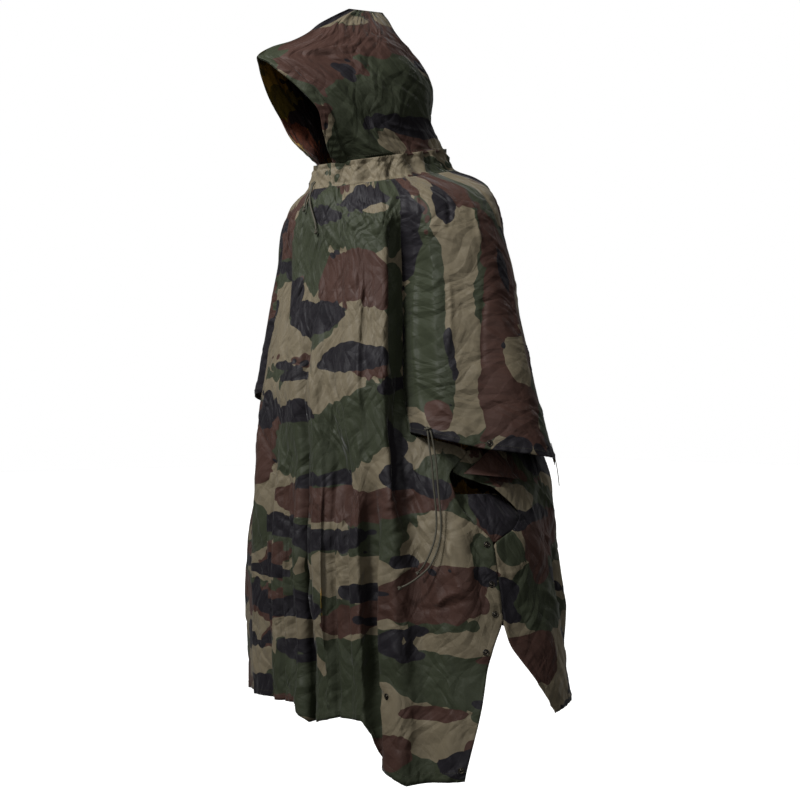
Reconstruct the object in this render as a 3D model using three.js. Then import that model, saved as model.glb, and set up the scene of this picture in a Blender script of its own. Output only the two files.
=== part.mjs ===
// A hooded rain poncho, worn and filled out, with no wearer in it.
// Millimetres. +Z is up, the front faces -Y, the wearer's left is +X. The origin is where neck and shoulders hold it.
import * as THREE from 'three'

// Driving dimensions
const clothThickness = 2
const seamGap = 0.3
const neckBandHeight = 42
const neckHalfWidth = 122
const neckHalfDepth = 139
const neckTilt = 0.17
const neckTiltFade = 150
const hoodTurn = -8
const hoodTurnHeight = 80
const hoodHalfOpening = 72
const shoulderHalfWidth = 255
const elbowHalfWidth = 350
const hemHalfWidth = 388
const chestHalfDepth = 180
const hemHalfDepth = 248
const gatherCount = 18
const gatherHeight = 4
const gatherReach = 130
const snapRadius = 6
const snapHeight = 2.5
const snapLift = 0.7
const cordRadius = 1.8
const knotRadius = 4.5

// Materials
const cloth = (name, color) => {
  const material = new THREE.MeshStandardMaterial({ color, roughness: 0.55, metalness: 0 })
  material.name = name
  return material
}
const printedNylon = cloth('printed_nylon', 0x6f6a56)
const tapeNylon = cloth('tape_nylon', 0x6a6654)
const oliveCord = cloth('olive_cord', 0x6a6654)
const darkenedBrass = new THREE.MeshStandardMaterial({ color: 0x3a3833, roughness: 0.4, metalness: 0.9 })
darkenedBrass.name = 'darkened_brass'

const poncho = new THREE.Group()

const addMesh = (name, geometry, material) => {
  const mesh = new THREE.Mesh(geometry, material)
  mesh.name = name
  poncho.add(mesh)
  return mesh
}

// Small tools for tables, angles and fading
const radians = degrees => degrees * Math.PI / 180
const clamp = value => Math.min(1, Math.max(0, value))
const mix = (from, to, share) => from + (to - from) * share
const smooth = (from, to, value) => {
  const share = clamp((value - from) / (to - from))
  return share * share * (3 - 2 * share)
}
const bump = distance => Math.abs(distance) < 1 ? (1 - distance * distance) ** 2 : 0

// A table has rows in order of its key. Reads one column at a value of the key, on straight lines.
const readStraight = (table, key, column, value) => {
  const rising = table[table.length - 1][key] > table[0][key]
  const past = row => rising ? row[key] >= value : row[key] <= value
  const found = table.findIndex(past)
  const after = found < 0 ? table.length - 1 : Math.max(1, found)
  const first = table[after - 1]
  const last = table[after]
  return mix(first[column], last[column], clamp((value - first[key]) / (last[key] - first[key])))
}

// The same on a smooth curve through the rows
const readSmooth = (table, key, column, value) => {
  const rising = table[table.length - 1][key] > table[0][key]
  const past = row => rising ? row[key] >= value : row[key] <= value
  const found = table.findIndex(past)
  const after = found < 0 ? table.length - 1 : Math.max(1, found)
  const row = index => table[Math.min(table.length - 1, Math.max(0, index))]
  const [before, first, last, next] = [row(after - 2), row(after - 1), row(after), row(after + 1)]
  const span = last[key] - first[key]
  const share = clamp((value - first[key]) / span)
  const slope = (low, high) => high[key] === low[key] ? 0 : (high[column] - low[column]) / (high[key] - low[key])
  const startSlope = slope(before, last) * span
  const endSlope = slope(first, next) * span
  const squared = share * share
  const cubed = squared * share
  return (2 * cubed - 3 * squared + 1) * first[column] + (cubed - 2 * squared + share) * startSlope
    + (3 * squared - 2 * cubed) * last[column] + (cubed - squared) * endSlope
}

// Turns a grid of outer points, and one of inner points, into one closed wall. Rows run down, columns run round to the
// left as seen from above.
const wallGeometry = (outer, inner, closedRing = false) => {
  const rows = outer.length
  const columns = outer[0].length
  const positions = []
  for (const grid of [outer, inner]) {
    for (const row of grid) {
      for (const point of row) {
        positions.push(point.x, point.y, point.z)
      }
    }
  }
  const outerAt = (row, column) => row * columns + column % columns
  const innerAt = (row, column) => rows * columns + outerAt(row, column)
  const faces = []
  const quad = (a, b, c, d) => faces.push(a, b, c, a, c, d)
  const spans = closedRing ? columns : columns - 1
  for (let row = 0; row < rows - 1; row++) {
    for (let column = 0; column < spans; column++) {
      quad(outerAt(row, column), outerAt(row + 1, column), outerAt(row + 1, column + 1), outerAt(row, column + 1))
      quad(innerAt(row, column), innerAt(row, column + 1), innerAt(row + 1, column + 1), innerAt(row + 1, column))
    }
  }
  for (let column = 0; column < spans; column++) {
    const bottom = rows - 1
    quad(outerAt(0, column), outerAt(0, column + 1), innerAt(0, column + 1), innerAt(0, column))
    quad(outerAt(bottom, column + 1), outerAt(bottom, column), innerAt(bottom, column), innerAt(bottom, column + 1))
  }
  if (!closedRing) {
    const end = columns - 1
    for (let row = 0; row < rows - 1; row++) {
      quad(outerAt(row + 1, 0), outerAt(row, 0), innerAt(row, 0), innerAt(row + 1, 0))
      quad(outerAt(row, end), outerAt(row + 1, end), innerAt(row + 1, end), innerAt(row, end))
    }
  }
  const geometry = new THREE.BufferGeometry()
  geometry.setAttribute('position', new THREE.BufferAttribute(new Float32Array(positions), 3))
  geometry.setIndex(faces)
  return geometry
}

// Moves each point of a grid along the surface's own direction, outwards where the distance is positive. At a seam the
// move stays within the seam's face, so that the two pieces' edges keep their gap.
const neckPlane = new THREE.Vector3(0, -neckTilt, 1).normalize()
const movedOut = (grid, distance, seams = {}) => grid.map((row, rowIndex) => row.map((point, index) => {
  const count = row.length
  const lastRow = grid.length - 1
  const before = seams.ring ? row[(index + count - 1) % count] : row[Math.max(0, index - 1)]
  const after = seams.ring ? row[(index + 1) % count] : row[Math.min(count - 1, index + 1)]
  const around = new THREE.Vector3().subVectors(after, before)
  const down = new THREE.Vector3().subVectors(grid[Math.min(lastRow, rowIndex + 1)][index],
    grid[Math.max(0, rowIndex - 1)][index])
  const outward = new THREE.Vector3().crossVectors(down, around).normalize()
  if (seams.sides && (index === 0 || index === count - 1)) {
    outward.projectOnPlane(new THREE.Vector3(-point.y, point.x, 0).normalize())
  }
  if ((seams.top && rowIndex === 0) || (seams.bottom && rowIndex === lastRow)) {
    outward.projectOnPlane(neckPlane)
  }
  return point.clone().addScaledVector(outward.normalize(), distance)
}))

const clothWall = (grid, seams) => wallGeometry(grid, movedOut(grid, -clothThickness, seams), seams.ring)

// The body's level sections, from the neck band's top down to below the lowest corner
const bodySections = [
  { level: neckBandHeight, halfWidth: neckHalfWidth - 4, halfDepth: neckHalfDepth - 3, shiftX: 0, shiftY: -12 },
  { level: 20, halfWidth: neckHalfWidth, halfDepth: neckHalfDepth, shiftX: -2, shiftY: -10 },
  { level: 0, halfWidth: 144, halfDepth: 148, shiftX: -2, shiftY: -6 },
  { level: -16, halfWidth: 187, halfDepth: 163, shiftX: 0, shiftY: 0 },
  { level: -36, halfWidth: 227, halfDepth: 174, shiftX: 3, shiftY: 4 },
  { level: -70, halfWidth: shoulderHalfWidth, halfDepth: chestHalfDepth, shiftX: 4, shiftY: 5 },
  { level: -110, halfWidth: 270, halfDepth: 183, shiftX: 5, shiftY: 5 },
  { level: -180, halfWidth: 285, halfDepth: 189, shiftX: 7, shiftY: 9 },
  { level: -260, halfWidth: 302, halfDepth: 200, shiftX: 8, shiftY: 9 },
  { level: -350, halfWidth: 321, halfDepth: 214, shiftX: 8, shiftY: 8 },
  { level: -420, halfWidth: 336, halfDepth: 226, shiftX: 9, shiftY: 8 },
  { level: -500, halfWidth: elbowHalfWidth, halfDepth: 230, shiftX: 16, shiftY: 14 },
  { level: -570, halfWidth: 362, halfDepth: 235, shiftX: 22, shiftY: 18 },
  { level: -700, halfWidth: 374, halfDepth: 242, shiftX: 25, shiftY: 17 },
  { level: -840, halfWidth: 386, halfDepth: 246, shiftX: 28, shiftY: 20 },
  { level: -1000, halfWidth: hemHalfWidth + 2, halfDepth: hemHalfDepth, shiftX: 33, shiftY: 25 },
  { level: -1200, halfWidth: hemHalfWidth, halfDepth: hemHalfDepth, shiftX: 33, shiftY: 25 },
]

// The large folds of front and back: where each starts and ends, how wide it is in degrees, and how far it stands out
// (a ridge) or in (a valley). One that ends below the hem runs out through it.
const belowHem = -1500
const folds = [
  { topAngle: -124, top: -90, endAngle: -108, end: -420, spread: 8, height: -14 },
  { topAngle: -112, top: -60, endAngle: -100, end: -420, spread: 9, height: 8 },
  { topAngle: -90, top: -260, endAngle: -85, end: belowHem, spread: 5, height: -17 },
  { topAngle: -81, top: -280, endAngle: -79, end: belowHem, spread: 6, height: 13 },
  { topAngle: -73, top: -320, endAngle: -63, end: -760, spread: 7, height: -14 },
  { topAngle: -60, top: -80, endAngle: -55, end: belowHem, spread: 8, height: 9 },
  { topAngle: -138, top: -420, endAngle: -132, end: belowHem, spread: 6, height: -20 },
  { topAngle: -128, top: -420, endAngle: -122, end: belowHem, spread: 8, height: 12 },
  { topAngle: -108, top: -480, endAngle: -106, end: belowHem, spread: 7, height: 8 },
  { topAngle: -52, top: -560, endAngle: -52, end: belowHem, spread: 5, height: -16 },
  { topAngle: -43, top: -520, endAngle: -43, end: belowHem, spread: 7, height: 16 },
  { topAngle: -34, top: -560, endAngle: -31, end: belowHem, spread: 6, height: -12 },
  { topAngle: -22, top: -590, endAngle: -20, end: -900, spread: 6, height: 16 },
  { topAngle: 24, top: -700, endAngle: 26, end: belowHem, spread: 8, height: -16 },
  { topAngle: 50, top: -120, endAngle: 56, end: belowHem, spread: 9, height: 14 },
  { topAngle: 66, top: -260, endAngle: 70, end: belowHem, spread: 7, height: -20 },
  { topAngle: 84, top: -140, endAngle: 86, end: belowHem, spread: 9, height: 13 },
  { topAngle: 99, top: -200, endAngle: 101, end: belowHem, spread: 7, height: -19 },
  { topAngle: 116, top: -120, endAngle: 117, end: belowHem, spread: 9, height: 14 },
  { topAngle: 132, top: -300, endAngle: 134, end: belowHem, spread: 7, height: -18 },
  { topAngle: 150, top: -560, endAngle: 150, end: belowHem, spread: 8, height: 12 },
  { topAngle: 36, top: -500, endAngle: 34, end: -960, spread: 16, height: 14 },
  { topAngle: 166, top: -640, endAngle: 166, end: belowHem, spread: 7, height: -14 },
  { topAngle: -160, top: -620, endAngle: -158, end: belowHem, spread: 8, height: 12 },
  { topAngle: -153, top: -450, endAngle: -153, end: -900, spread: 18, height: 14 },
]
const foldFadeIn = 120

const foldHeight = (angle, level) => {
  let height = 0
  for (const fold of folds) {
    const share = clamp((fold.top - level) / (fold.top - fold.end))
    const middle = mix(fold.topAngle, fold.endAngle, share)
    const fade = smooth(fold.top, fold.top - foldFadeIn, level) * smooth(fold.end, fold.end + foldFadeIn, level)
    height += fold.height * fade * bump((angle - middle) / fold.spread)
  }
  return height
}

// Where each arm passes, the body is tucked in under the cloth that hangs over the arm. The two valleys at its edges
// are as deep as the tuck.
const leftArm = { front: -33, back: 38, frontFlank: 11, backFade: 34, drapeFlank: 4, tuck: 1 }
const rightArm = { front: -143, back: -218, frontFlank: 12, backFade: 34, drapeFlank: 6, tuck: 0.4 }
const tuckSections = [
  { level: 0, depth: 0 },
  { level: -60, depth: 14 },
  { level: -160, depth: 32 },
  { level: -300, depth: 46 },
  { level: -440, depth: 60 },
  { level: -540, depth: 60 },
  { level: -620, depth: 44 },
  { level: -700, depth: 26 },
  { level: -850, depth: 12 },
  { level: -1000, depth: 0 },
]
const tuckDepth = level => readSmooth(tuckSections, 'level', 'depth', level)

// How far under the arm an angle lies, from 0 to 1: full from the front valley on, then fading out towards the back
const underArm = (arm, angle) => {
  const way = Math.sign(arm.back - arm.front)
  const whole = arm === rightArm && angle > 0 ? angle - 360 : angle
  const fromFront = way * (whole - arm.front)
  const fromBack = way * (whole - arm.back)
  return arm.tuck * smooth(-arm.frontFlank, 0, fromFront) * (1 - smooth(-arm.backFade, 6, fromBack))
}

// The cloth over an arm stands out from the body in a long swelling, with its valleys at its two edges.
const swellSections = [
  { level: 0, height: 0 },
  { level: -70, height: 8 },
  { level: -200, height: 16 },
  { level: -400, height: 28 },
  { level: -580, height: 34 },
]
const armFolds = [
  { share: 0.3, spread: 0.16, top: -120, end: belowHem, height: -9 },
  { share: 0.52, spread: 0.13, top: -260, end: belowHem, height: 8 },
  { share: 0.72, spread: 0.14, top: -180, end: belowHem, height: -8 },
]

const bodyRadius = (angle, level) => {
  const across = Math.cos(radians(angle)) / readSmooth(bodySections, 'level', 'halfWidth', level)
  const along = Math.sin(radians(angle)) / readSmooth(bodySections, 'level', 'halfDepth', level)
  return 1 / Math.hypot(across, along)
}

const gatherWave = (angle, level) => gatherHeight * Math.cos(radians(angle * gatherCount)) *
  (level > 0 ? 1 : Math.exp(2 * level / gatherReach))

// A point of the body's ring, with its radius changed by the distance that is given. The neck's plane leans forwards.
const ringPoint = (angle, level, radius) => {
  const x = readSmooth(bodySections, 'level', 'shiftX', level) + radius * Math.cos(radians(angle))
  const y = readSmooth(bodySections, 'level', 'shiftY', level) + radius * Math.sin(radians(angle))
  const lean = neckTilt * y * smooth(-neckTiltFade, 0, level)
  return new THREE.Vector3(x, y, level + lean)
}

const bodyPoint = (angle, level, inset = 0) => {
  const tuck = tuckDepth(level) * (underArm(leftArm, angle) + underArm(rightArm, angle))
  const radius = bodyRadius(angle, level) + gatherWave(angle, level) + foldHeight(angle, level) - tuck - inset
  return ringPoint(angle, level, radius)
}

// A point of the cloth over an arm. The share runs from the front valley, at 0, to the back one, at 1.
const armPoint = (arm, share, level) => {
  const angle = mix(arm.front, arm.back, share)
  const flankShare = arm.drapeFlank / Math.abs(arm.back - arm.front)
  const frontValley = underArm(arm, arm.front) * (1 - smooth(0, flankShare, share))
  const backValley = underArm(arm, arm.back) * smooth(1 - flankShare, 1, share)
  const swell = readSmooth(swellSections, 'level', 'height', level) * Math.sin(Math.PI * share) ** 2
  let crease = 0
  for (const fold of armFolds) {
    const fade = smooth(fold.top, fold.top - foldFadeIn, level)
    crease += fold.height * fade * bump((share - fold.share) / fold.spread)
  }
  const valley = tuckDepth(level) * (frontValley + backValley)
  return ringPoint(angle, level, bodyRadius(angle, level) + gatherWave(angle, level) + swell + crease - valley)
}

// The hem's height round the body, level of the corners and of the middles
const hemSections = [
  { angle: -220, level: -985 },
  { angle: -190, level: -1040 },
  { angle: -166, level: -1045 },
  { angle: -150, level: -1030 },
  { angle: -135, level: -1022 },
  { angle: -131, level: -1024 },
  { angle: -94.5, level: -1022 },
  { angle: -90, level: -1056 },
  { angle: -82, level: -1052 },
  { angle: -70, level: -1038 },
  { angle: -57, level: -1038 },
  { angle: -53.5, level: -1064 },
  { angle: -50.5, level: -1120 },
  { angle: -40, level: -1150 },
  { angle: -22.5, level: -1138 },
  { angle: -14, level: -1128 },
  { angle: -9, level: -1030 },
  { angle: 4, level: -1022 },
  { angle: 30, level: -996 },
  { angle: 60, level: -935 },
  { angle: 90, level: -905 },
  { angle: 120, level: -930 },
  { angle: 150, level: -990 },
  { angle: 175, level: -1040 },
]
const hemReference = -1000
const hemStart = -850

// The side edges of front and back, by level. Above the cuffs they are the valleys beside the arms. Under the cuffs they
// swing in to the snapped side seam, which leaves the hand opening, and below the last snap they part again.
const leftCuffLevel = -505
const rightCuffLevel = -425
const seamAngle = -9.5
const frontLeftEdge = [
  { level: 0, angle: leftArm.front },
  { level: leftCuffLevel, angle: leftArm.front },
  { level: -530, angle: -11 },
  { level: -578, angle: -21 },
  { level: -640, angle: -19 },
  { level: -700, angle: seamAngle },
  { level: -850, angle: seamAngle },
  { level: -890, angle: -15 },
  { level: -945, angle: -18.5 },
  { level: hemReference, angle: -22.5 },
]
const backLeftEdge = [
  { level: 0, angle: leftArm.back },
  { level: leftCuffLevel, angle: leftArm.back },
  { level: -535, angle: -16 },
  { level: -586, angle: -19 },
  { level: -592, angle: -8 },
  { level: -612, angle: -5 },
  { level: -636, angle: 0 },
  { level: -655, angle: 3 },
  { level: -688, angle: -3 },
  { level: -700, angle: seamAngle },
  { level: -850, angle: seamAngle },
  { level: -885, angle: -8 },
  { level: -945, angle: -1 },
  { level: hemReference, angle: 5 },
]
const rightSeamAngle = -177
const frontRightEdge = [
  { level: 0, angle: rightArm.front },
  { level: rightCuffLevel, angle: rightArm.front },
  { level: -460, angle: -160 },
  { level: -560, angle: -166 },
  { level: -660, angle: rightSeamAngle },
  { level: -850, angle: rightSeamAngle },
  { level: hemReference, angle: -167 },
]
const backRightEdge = [
  { level: 0, angle: rightArm.back },
  { level: rightCuffLevel, angle: rightArm.back },
  { level: -460, angle: -200 },
  { level: -560, angle: -188 },
  { level: -660, angle: rightSeamAngle },
  { level: -850, angle: rightSeamAngle },
  { level: hemReference, angle: -188 },
]

// The levels of the rows. Front, back and sides share them down to the cuffs, so that their seams meet.
const upperLevels = [0, -16, -36, -70, -130, -200, -280, -360, rightCuffLevel]
const betweenCuffs = [-460, leftCuffLevel]
const frontLevels = [...upperLevels, ...betweenCuffs, -530, -578, -640, -700, -770, -850, -890, -945, hemReference]
const backLevels = [...upperLevels, ...betweenCuffs, -535, -586, -592, -636, -655, -700, -770, -850, -885, -945,
  hemReference]

// Half the gap at a side edge, as an angle on the ring of that level
const halfGapAngle = level => seamGap / 2 / readSmooth(bodySections, 'level', 'halfDepth', level) * 180 / Math.PI

// A stretch has columns at fixed angles in its middle, so that folds run true, and some between them and each edge.
const edgeColumns = 7
const stretchGrid = (levels, middle, startAngle, endAngle, insetAt) => levels.map(level => {
  const start = startAngle(level) + halfGapAngle(level)
  const end = endAngle(level) - halfGapAngle(level)
  const angles = []
  for (let column = 0; column < edgeColumns; column++) {
    angles.push(mix(start, middle.from, column / edgeColumns))
  }
  for (let column = 0; column <= middle.columns; column++) {
    angles.push(mix(middle.from, middle.to, column / middle.columns))
  }
  for (let column = 1; column <= edgeColumns; column++) {
    angles.push(mix(middle.to, end, column / edgeColumns))
  }
  return angles.map(angle => {
    const hemLevel = readStraight(hemSections, 'angle', 'level', angle > 180 ? angle - 360 : angle)
    const stretch = clamp((hemStart - level) / (hemStart - hemReference)) * (hemLevel - hemReference)
    return bodyPoint(angle, level + stretch, insetAt(angle, level))
  })
})

const straight = (table, turn = 0) => level => readStraight(table, 'level', 'angle', level) + turn

// Under the left cuff the back's corner lies inside the front's.
const backTuckInside = 14
const backInset = (angle, level) => backTuckInside * (1 - smooth(8, 20, angle)) * smooth(-604, -592, level)

const noInset = () => 0
const frontMiddle = { from: -135, to: -39, columns: 32 }
const backMiddle = { from: 46, to: 134, columns: 22 }
const frontGrid = stretchGrid(frontLevels, frontMiddle, straight(frontRightEdge), straight(frontLeftEdge), noInset)
const backGrid = stretchGrid(backLevels, backMiddle, straight(backLeftEdge), straight(backRightEdge, 360), backInset)
const stretchSeams = { sides: true, top: true }
addMesh('front', clothWall(frontGrid, stretchSeams), printedNylon)
addMesh('back', clothWall(backGrid, stretchSeams), printedNylon)

// The cloth over the arms, each down to its open cuff
const leftCuff = [
  { share: 0, level: leftCuffLevel + 4 },
  { share: 0.28, level: -530 },
  { share: 0.58, level: -549 },
  { share: 0.8, level: -566 },
  { share: 1, level: leftCuffLevel + 4 },
]
const rightCuff = [
  { share: 0, level: rightCuffLevel + 4 },
  { share: 0.1, level: -430 },
  { share: 0.5, level: -450 },
  { share: 0.86, level: -446 },
  { share: 1, level: rightCuffLevel + 4 },
]
const armColumns = 18

const armGrid = (arm, cuff, levels) => levels.map(level => {
  const row = []
  const reference = levels[levels.length - 1]
  const halfGapShare = halfGapAngle(level) / Math.abs(arm.back - arm.front)
  for (let column = 0; column <= armColumns; column++) {
    const share = mix(halfGapShare, 1 - halfGapShare, column / armColumns)
    const cuffLevel = readStraight(cuff, 'share', 'level', share)
    row.push(armPoint(arm, share, level * mix(1, cuffLevel / reference, smooth(0, reference, level))))
  }
  return arm.back < arm.front ? row.reverse() : row
})
const leftGrid = armGrid(leftArm, leftCuff, [...upperLevels, ...betweenCuffs])
const rightGrid = armGrid(rightArm, rightCuff, upperLevels)
addMesh('side_left', clothWall(leftGrid, stretchSeams), printedNylon)
addMesh('side_right', clothWall(rightGrid, stretchSeams), printedNylon)

// The gathered neck band, one ring
const bandColumns = 4 * gatherCount
const bandLevels = [neckBandHeight - seamGap, 20, seamGap]
const bandGrid = bandLevels.map(level => {
  const row = []
  for (let column = 0; column < bandColumns; column++) {
    row.push(bodyPoint(-180 + 360 * column / bandColumns, level))
  }
  return row
})
addMesh('neck_band', clothWall(bandGrid, { ring: true, top: true, bottom: true }), tapeNylon)

// The hood's level sections: the rim of the face opening, the widest place and the middle of the back. Above the brow the
// front closes on the crown seam.
const crownSeam = 0
const hoodSections = [
  { level: neckBandHeight, rimX: 20, rimY: -146, sideX: 118, sideY: -12, backY: 126 },
  { level: 70, rimX: 38, rimY: -168, sideX: 110, sideY: -20, backY: 114 },
  { level: 95, rimX: 60, rimY: -182, sideX: 108, sideY: -28, backY: 100 },
  { level: 128, rimX: hoodHalfOpening + 4, rimY: -196, sideX: 113, sideY: -36, backY: 96 },
  { level: 160, rimX: 62, rimY: -230, sideX: 113, sideY: -40, backY: 97 },
  { level: 186, rimX: 40, rimY: -257, sideX: 108, sideY: -44, backY: 93 },
  { level: 208, rimX: 20, rimY: -275, sideX: 101, sideY: -50, backY: 86 },
  { level: 222, rimX: crownSeam, rimY: -288, sideX: 96, sideY: -54, backY: 78 },
  { level: 243, rimX: crownSeam, rimY: -256, sideX: 86, sideY: -60, backY: 63 },
  { level: 258, rimX: crownSeam, rimY: -214, sideX: 76, sideY: -62, backY: 49 },
  { level: 277, rimX: crownSeam, rimY: -178, sideX: 61, sideY: -62, backY: 33 },
  { level: 298, rimX: crownSeam, rimY: -151, sideX: 42, sideY: -58, backY: 18 },
  { level: 320, rimX: crownSeam, rimY: -112, sideX: 20, sideY: -50, backY: 6 },
  { level: 334, rimX: crownSeam, rimY: -84, sideX: crownSeam, sideY: -42, backY: -6 },
]
const hoodLevels = hoodSections.map(section => section.level)
const browLevel = 222
const hoodColumns = 12
const hoodFolds = [
  { topPlace: 0.72, top: 270, endPlace: 0.86, end: 70, spread: 0.12, height: -8 },
  { topPlace: 0.2, top: 250, endPlace: 0.34, end: 90, spread: 0.12, height: -8 },
  { topPlace: 0.5, top: 320, endPlace: 0.62, end: 180, spread: 0.16, height: 6 },
]

// A point of the hood. The place runs from the rim, at 0, to the back seam, at 1. The side is 1 on the wearer's left.
const hoodPoint = (side, place, level) => {
  const read = column => readSmooth(hoodSections, 'level', column, level)
  const [rimX, rimY, sideX, sideY, backY] = ['rimX', 'rimY', 'sideX', 'sideY', 'backY'].map(read)
  const forward = clamp(1 - 2 * place)
  const backward = radians(90 * clamp(2 * place - 1))
  let x = forward > 0 ? sideX - (sideX - rimX) * forward ** 2 : sideX * Math.cos(backward)
  const y = forward > 0 ? mix(sideY, rimY, forward) : mix(sideY, backY, Math.sin(backward))
  for (const fold of hoodFolds) {
    const share = clamp((fold.top - level) / (fold.top - fold.end))
    const fade = smooth(fold.top, fold.top - 30, level) * smooth(fold.end, fold.end + 30, level)
    x += fold.height * fade * bump((place - mix(fold.topPlace, fold.endPlace, share)) / fold.spread)
  }
  const turn = radians(hoodTurn * smooth(neckBandHeight, neckBandHeight + hoodTurnHeight, level))
  const fromSeam = Math.max(0, x) + seamGap / 2
  const turned = new THREE.Vector3(side * fromSeam, y, level).applyAxisAngle(new THREE.Vector3(0, 0, 1), turn)
  turned.z += neckTilt * turned.y * (1 - smooth(neckBandHeight, neckBandHeight + neckTiltFade, level))
  return turned
}

// Rows run down and columns round to the left, so the right half runs from the back seam to the rim.
const hoodGrid = side => hoodLevels.toReversed().map(level => {
  const row = []
  for (let column = 0; column <= hoodColumns; column++) {
    row.push(hoodPoint(side, column / hoodColumns, level))
  }
  return side > 0 ? row : row.reverse()
})

// The crown seam is one upright face, so what is moved out or in from the halves stops short of it.
const keptOffSeam = (grid, side) => grid.map(row => row.map(point => {
  const upright = new THREE.Vector3(0, 0, 1)
  const turn = radians(hoodTurn * smooth(neckBandHeight, neckBandHeight + hoodTurnHeight, point.z))
  const unturned = point.clone().applyAxisAngle(upright, -turn)
  unturned.x = side * Math.max(side * unturned.x, seamGap / 2)
  return unturned.applyAxisAngle(upright, turn)
}))

// The drawcord tunnel lies on the outside of the rim, from the brow down to the neck.
const rimColumns = 2
const rimThickness = 1.6
for (const [name, side] of [['left', 1], ['right', -1]]) {
  const grid = hoodGrid(side)
  const moved = distance => keptOffSeam(movedOut(grid, distance, { bottom: true }), side)
  addMesh(`hood_${name}`, wallGeometry(grid, moved(-clothThickness)), printedNylon)
  const browRow = hoodLevels.toReversed().indexOf(browLevel)
  const rimOf = wall => wall.slice(browRow).map(row => side > 0 ? row.slice(0, rimColumns + 1)
    : row.slice(-rimColumns - 1))
  addMesh(`rim_${name}`, wallGeometry(rimOf(moved(seamGap + rimThickness)), rimOf(moved(seamGap))), tapeNylon)
}

// Metal snap fasteners. Each stands just clear of the cloth on the face of the grid that its row and column name.
const snapProfile = [[0, 0], [snapRadius, 0], [snapRadius, 1.2], [snapRadius * 0.6, snapHeight], [0, snapHeight]]
const addSnap = (name, grid, row, column) => {
  const [above, left] = [Math.floor(row), Math.floor(column)]
  const [down, across] = [row - above, column - left]
  const first = grid[above][left]
  const last = grid[above + 1][left + 1]
  const between = down > across ? grid[above + 1][left] : grid[above][left + 1]
  const nearShare = Math.max(down, across)
  const farShare = Math.min(down, across)
  const place = first.clone().addScaledVector(between.clone().sub(first), nearShare)
    .addScaledVector(last.clone().sub(between), farShare)
  const outward = new THREE.Vector3().crossVectors(between.clone().sub(first), last.clone().sub(between)).normalize()
  if (down <= across) {
    outward.negate()
  }
  const profile = snapProfile.map(([radius, height]) => new THREE.Vector2(radius, height))
  const geometry = new THREE.LatheGeometry(profile, 8)
  geometry.applyQuaternion(new THREE.Quaternion().setFromUnitVectors(new THREE.Vector3(0, 1, 0), outward))
  const mesh = addMesh(name, geometry, darkenedBrass)
  mesh.position.copy(place).addScaledVector(outward, snapLift)
}
const snaps = [
  { name: 'snap_cuff_left_front', grid: leftGrid, row: 9.75, column: 5.5 },
  { name: 'snap_cuff_left_back', grid: leftGrid, row: 9.8, column: 11.5 },
  { name: 'snap_cuff_right_front', grid: rightGrid, row: 7.8, column: 16.4 },
  { name: 'snap_cuff_right_back', grid: rightGrid, row: 7.8, column: 8.5 },
  { name: 'snap_seam_left_top', grid: frontGrid, row: 14.1, column: 45.5 },
  { name: 'snap_seam_left_middle', grid: frontGrid, row: 15.12, column: 45.5 },
  { name: 'snap_seam_left_low', grid: frontGrid, row: 15.8, column: 45.5 },
  { name: 'snap_seam_right_top', grid: frontGrid, row: 14.2, column: 0.5 },
  { name: 'snap_seam_right_middle', grid: frontGrid, row: 15.2, column: 0.5 },
  { name: 'snap_seam_right_low', grid: frontGrid, row: 15.7, column: 0.5 },
  { name: 'snap_edge_left', grid: frontGrid, row: 16.7, column: 45.5 },
  { name: 'snap_corner_front_left', grid: frontGrid, row: 18.8, column: 45.4 },
  { name: 'snap_corner_front_right', grid: frontGrid, row: 18.6, column: 0.3 },
  { name: 'snap_hem_front', grid: frontGrid, row: 17.6, column: 36.5 },
  { name: 'snap_corner_back_left', grid: backGrid, row: 20.7, column: 0.35 },
  { name: 'snap_corner_back_right', grid: backGrid, row: 20.7, column: 35.35 },
]
for (const snap of snaps) {
  addSnap(snap.name, snap.grid, snap.row, snap.column)
}

// The tie tab hangs down the outside of the left cuff, near its rear corner.
const tabShares = [0.66, 0.682]
const tabLevels = [-522, -540, -558, -580, -602]
const tabThickness = 1.2
const tabLift = 0.4
const tabGrid = tabLevels.map(level => tabShares.map(share => armPoint(leftArm, share, level)))
addMesh('tie_tab_left', wallGeometry(movedOut(tabGrid, tabLift + tabThickness), movedOut(tabGrid, tabLift)), tapeNylon)

// The drawcords' free ends. Each route starts at the cloth that the cord leaves and ends at its knot.
const neckCordLong = [
  { x: -34, y: -150.1, z: -12 },
  { x: -33, y: -157, z: -20 },
  { x: -31, y: -161, z: -29 },
  { x: -28, y: -167, z: -38 },
  { x: -24, y: -171, z: -47 },
  { x: -19, y: -174, z: -54 },
  { x: -15, y: -176, z: -61 },
  { x: -11, y: -177, z: -68 },
  { x: -7, y: -178, z: -74 },
  { x: -3, y: -179, z: -80 },
  { x: 1, y: -180, z: -86 },
  { x: 5, y: -181, z: -92 },
  { x: 8, y: -182, z: -98 },
  { x: 10, y: -182, z: -105 },
  { x: 11, y: -183, z: -111 },
]
const neckCordShort = [
  { x: -44, y: -142.7, z: -10 },
  { x: -45, y: -149, z: -14 },
  { x: -45, y: -150, z: -18 },
  { x: -44, y: -151, z: -22 },
  { x: -44, y: -153, z: -26 },
  { x: -43, y: -155, z: -31 },
  { x: -43, y: -159, z: -35 },
  { x: -42, y: -162, z: -39 },
  { x: -41, y: -165, z: -43 },
  { x: -40, y: -168, z: -47 },
  { x: -38, y: -170, z: -51 },
  { x: -37, y: -172, z: -54 },
  { x: -36, y: -173, z: -58 },
  { x: -35, y: -175, z: -61 },
  { x: -35, y: -176, z: -64 },
]
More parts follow.
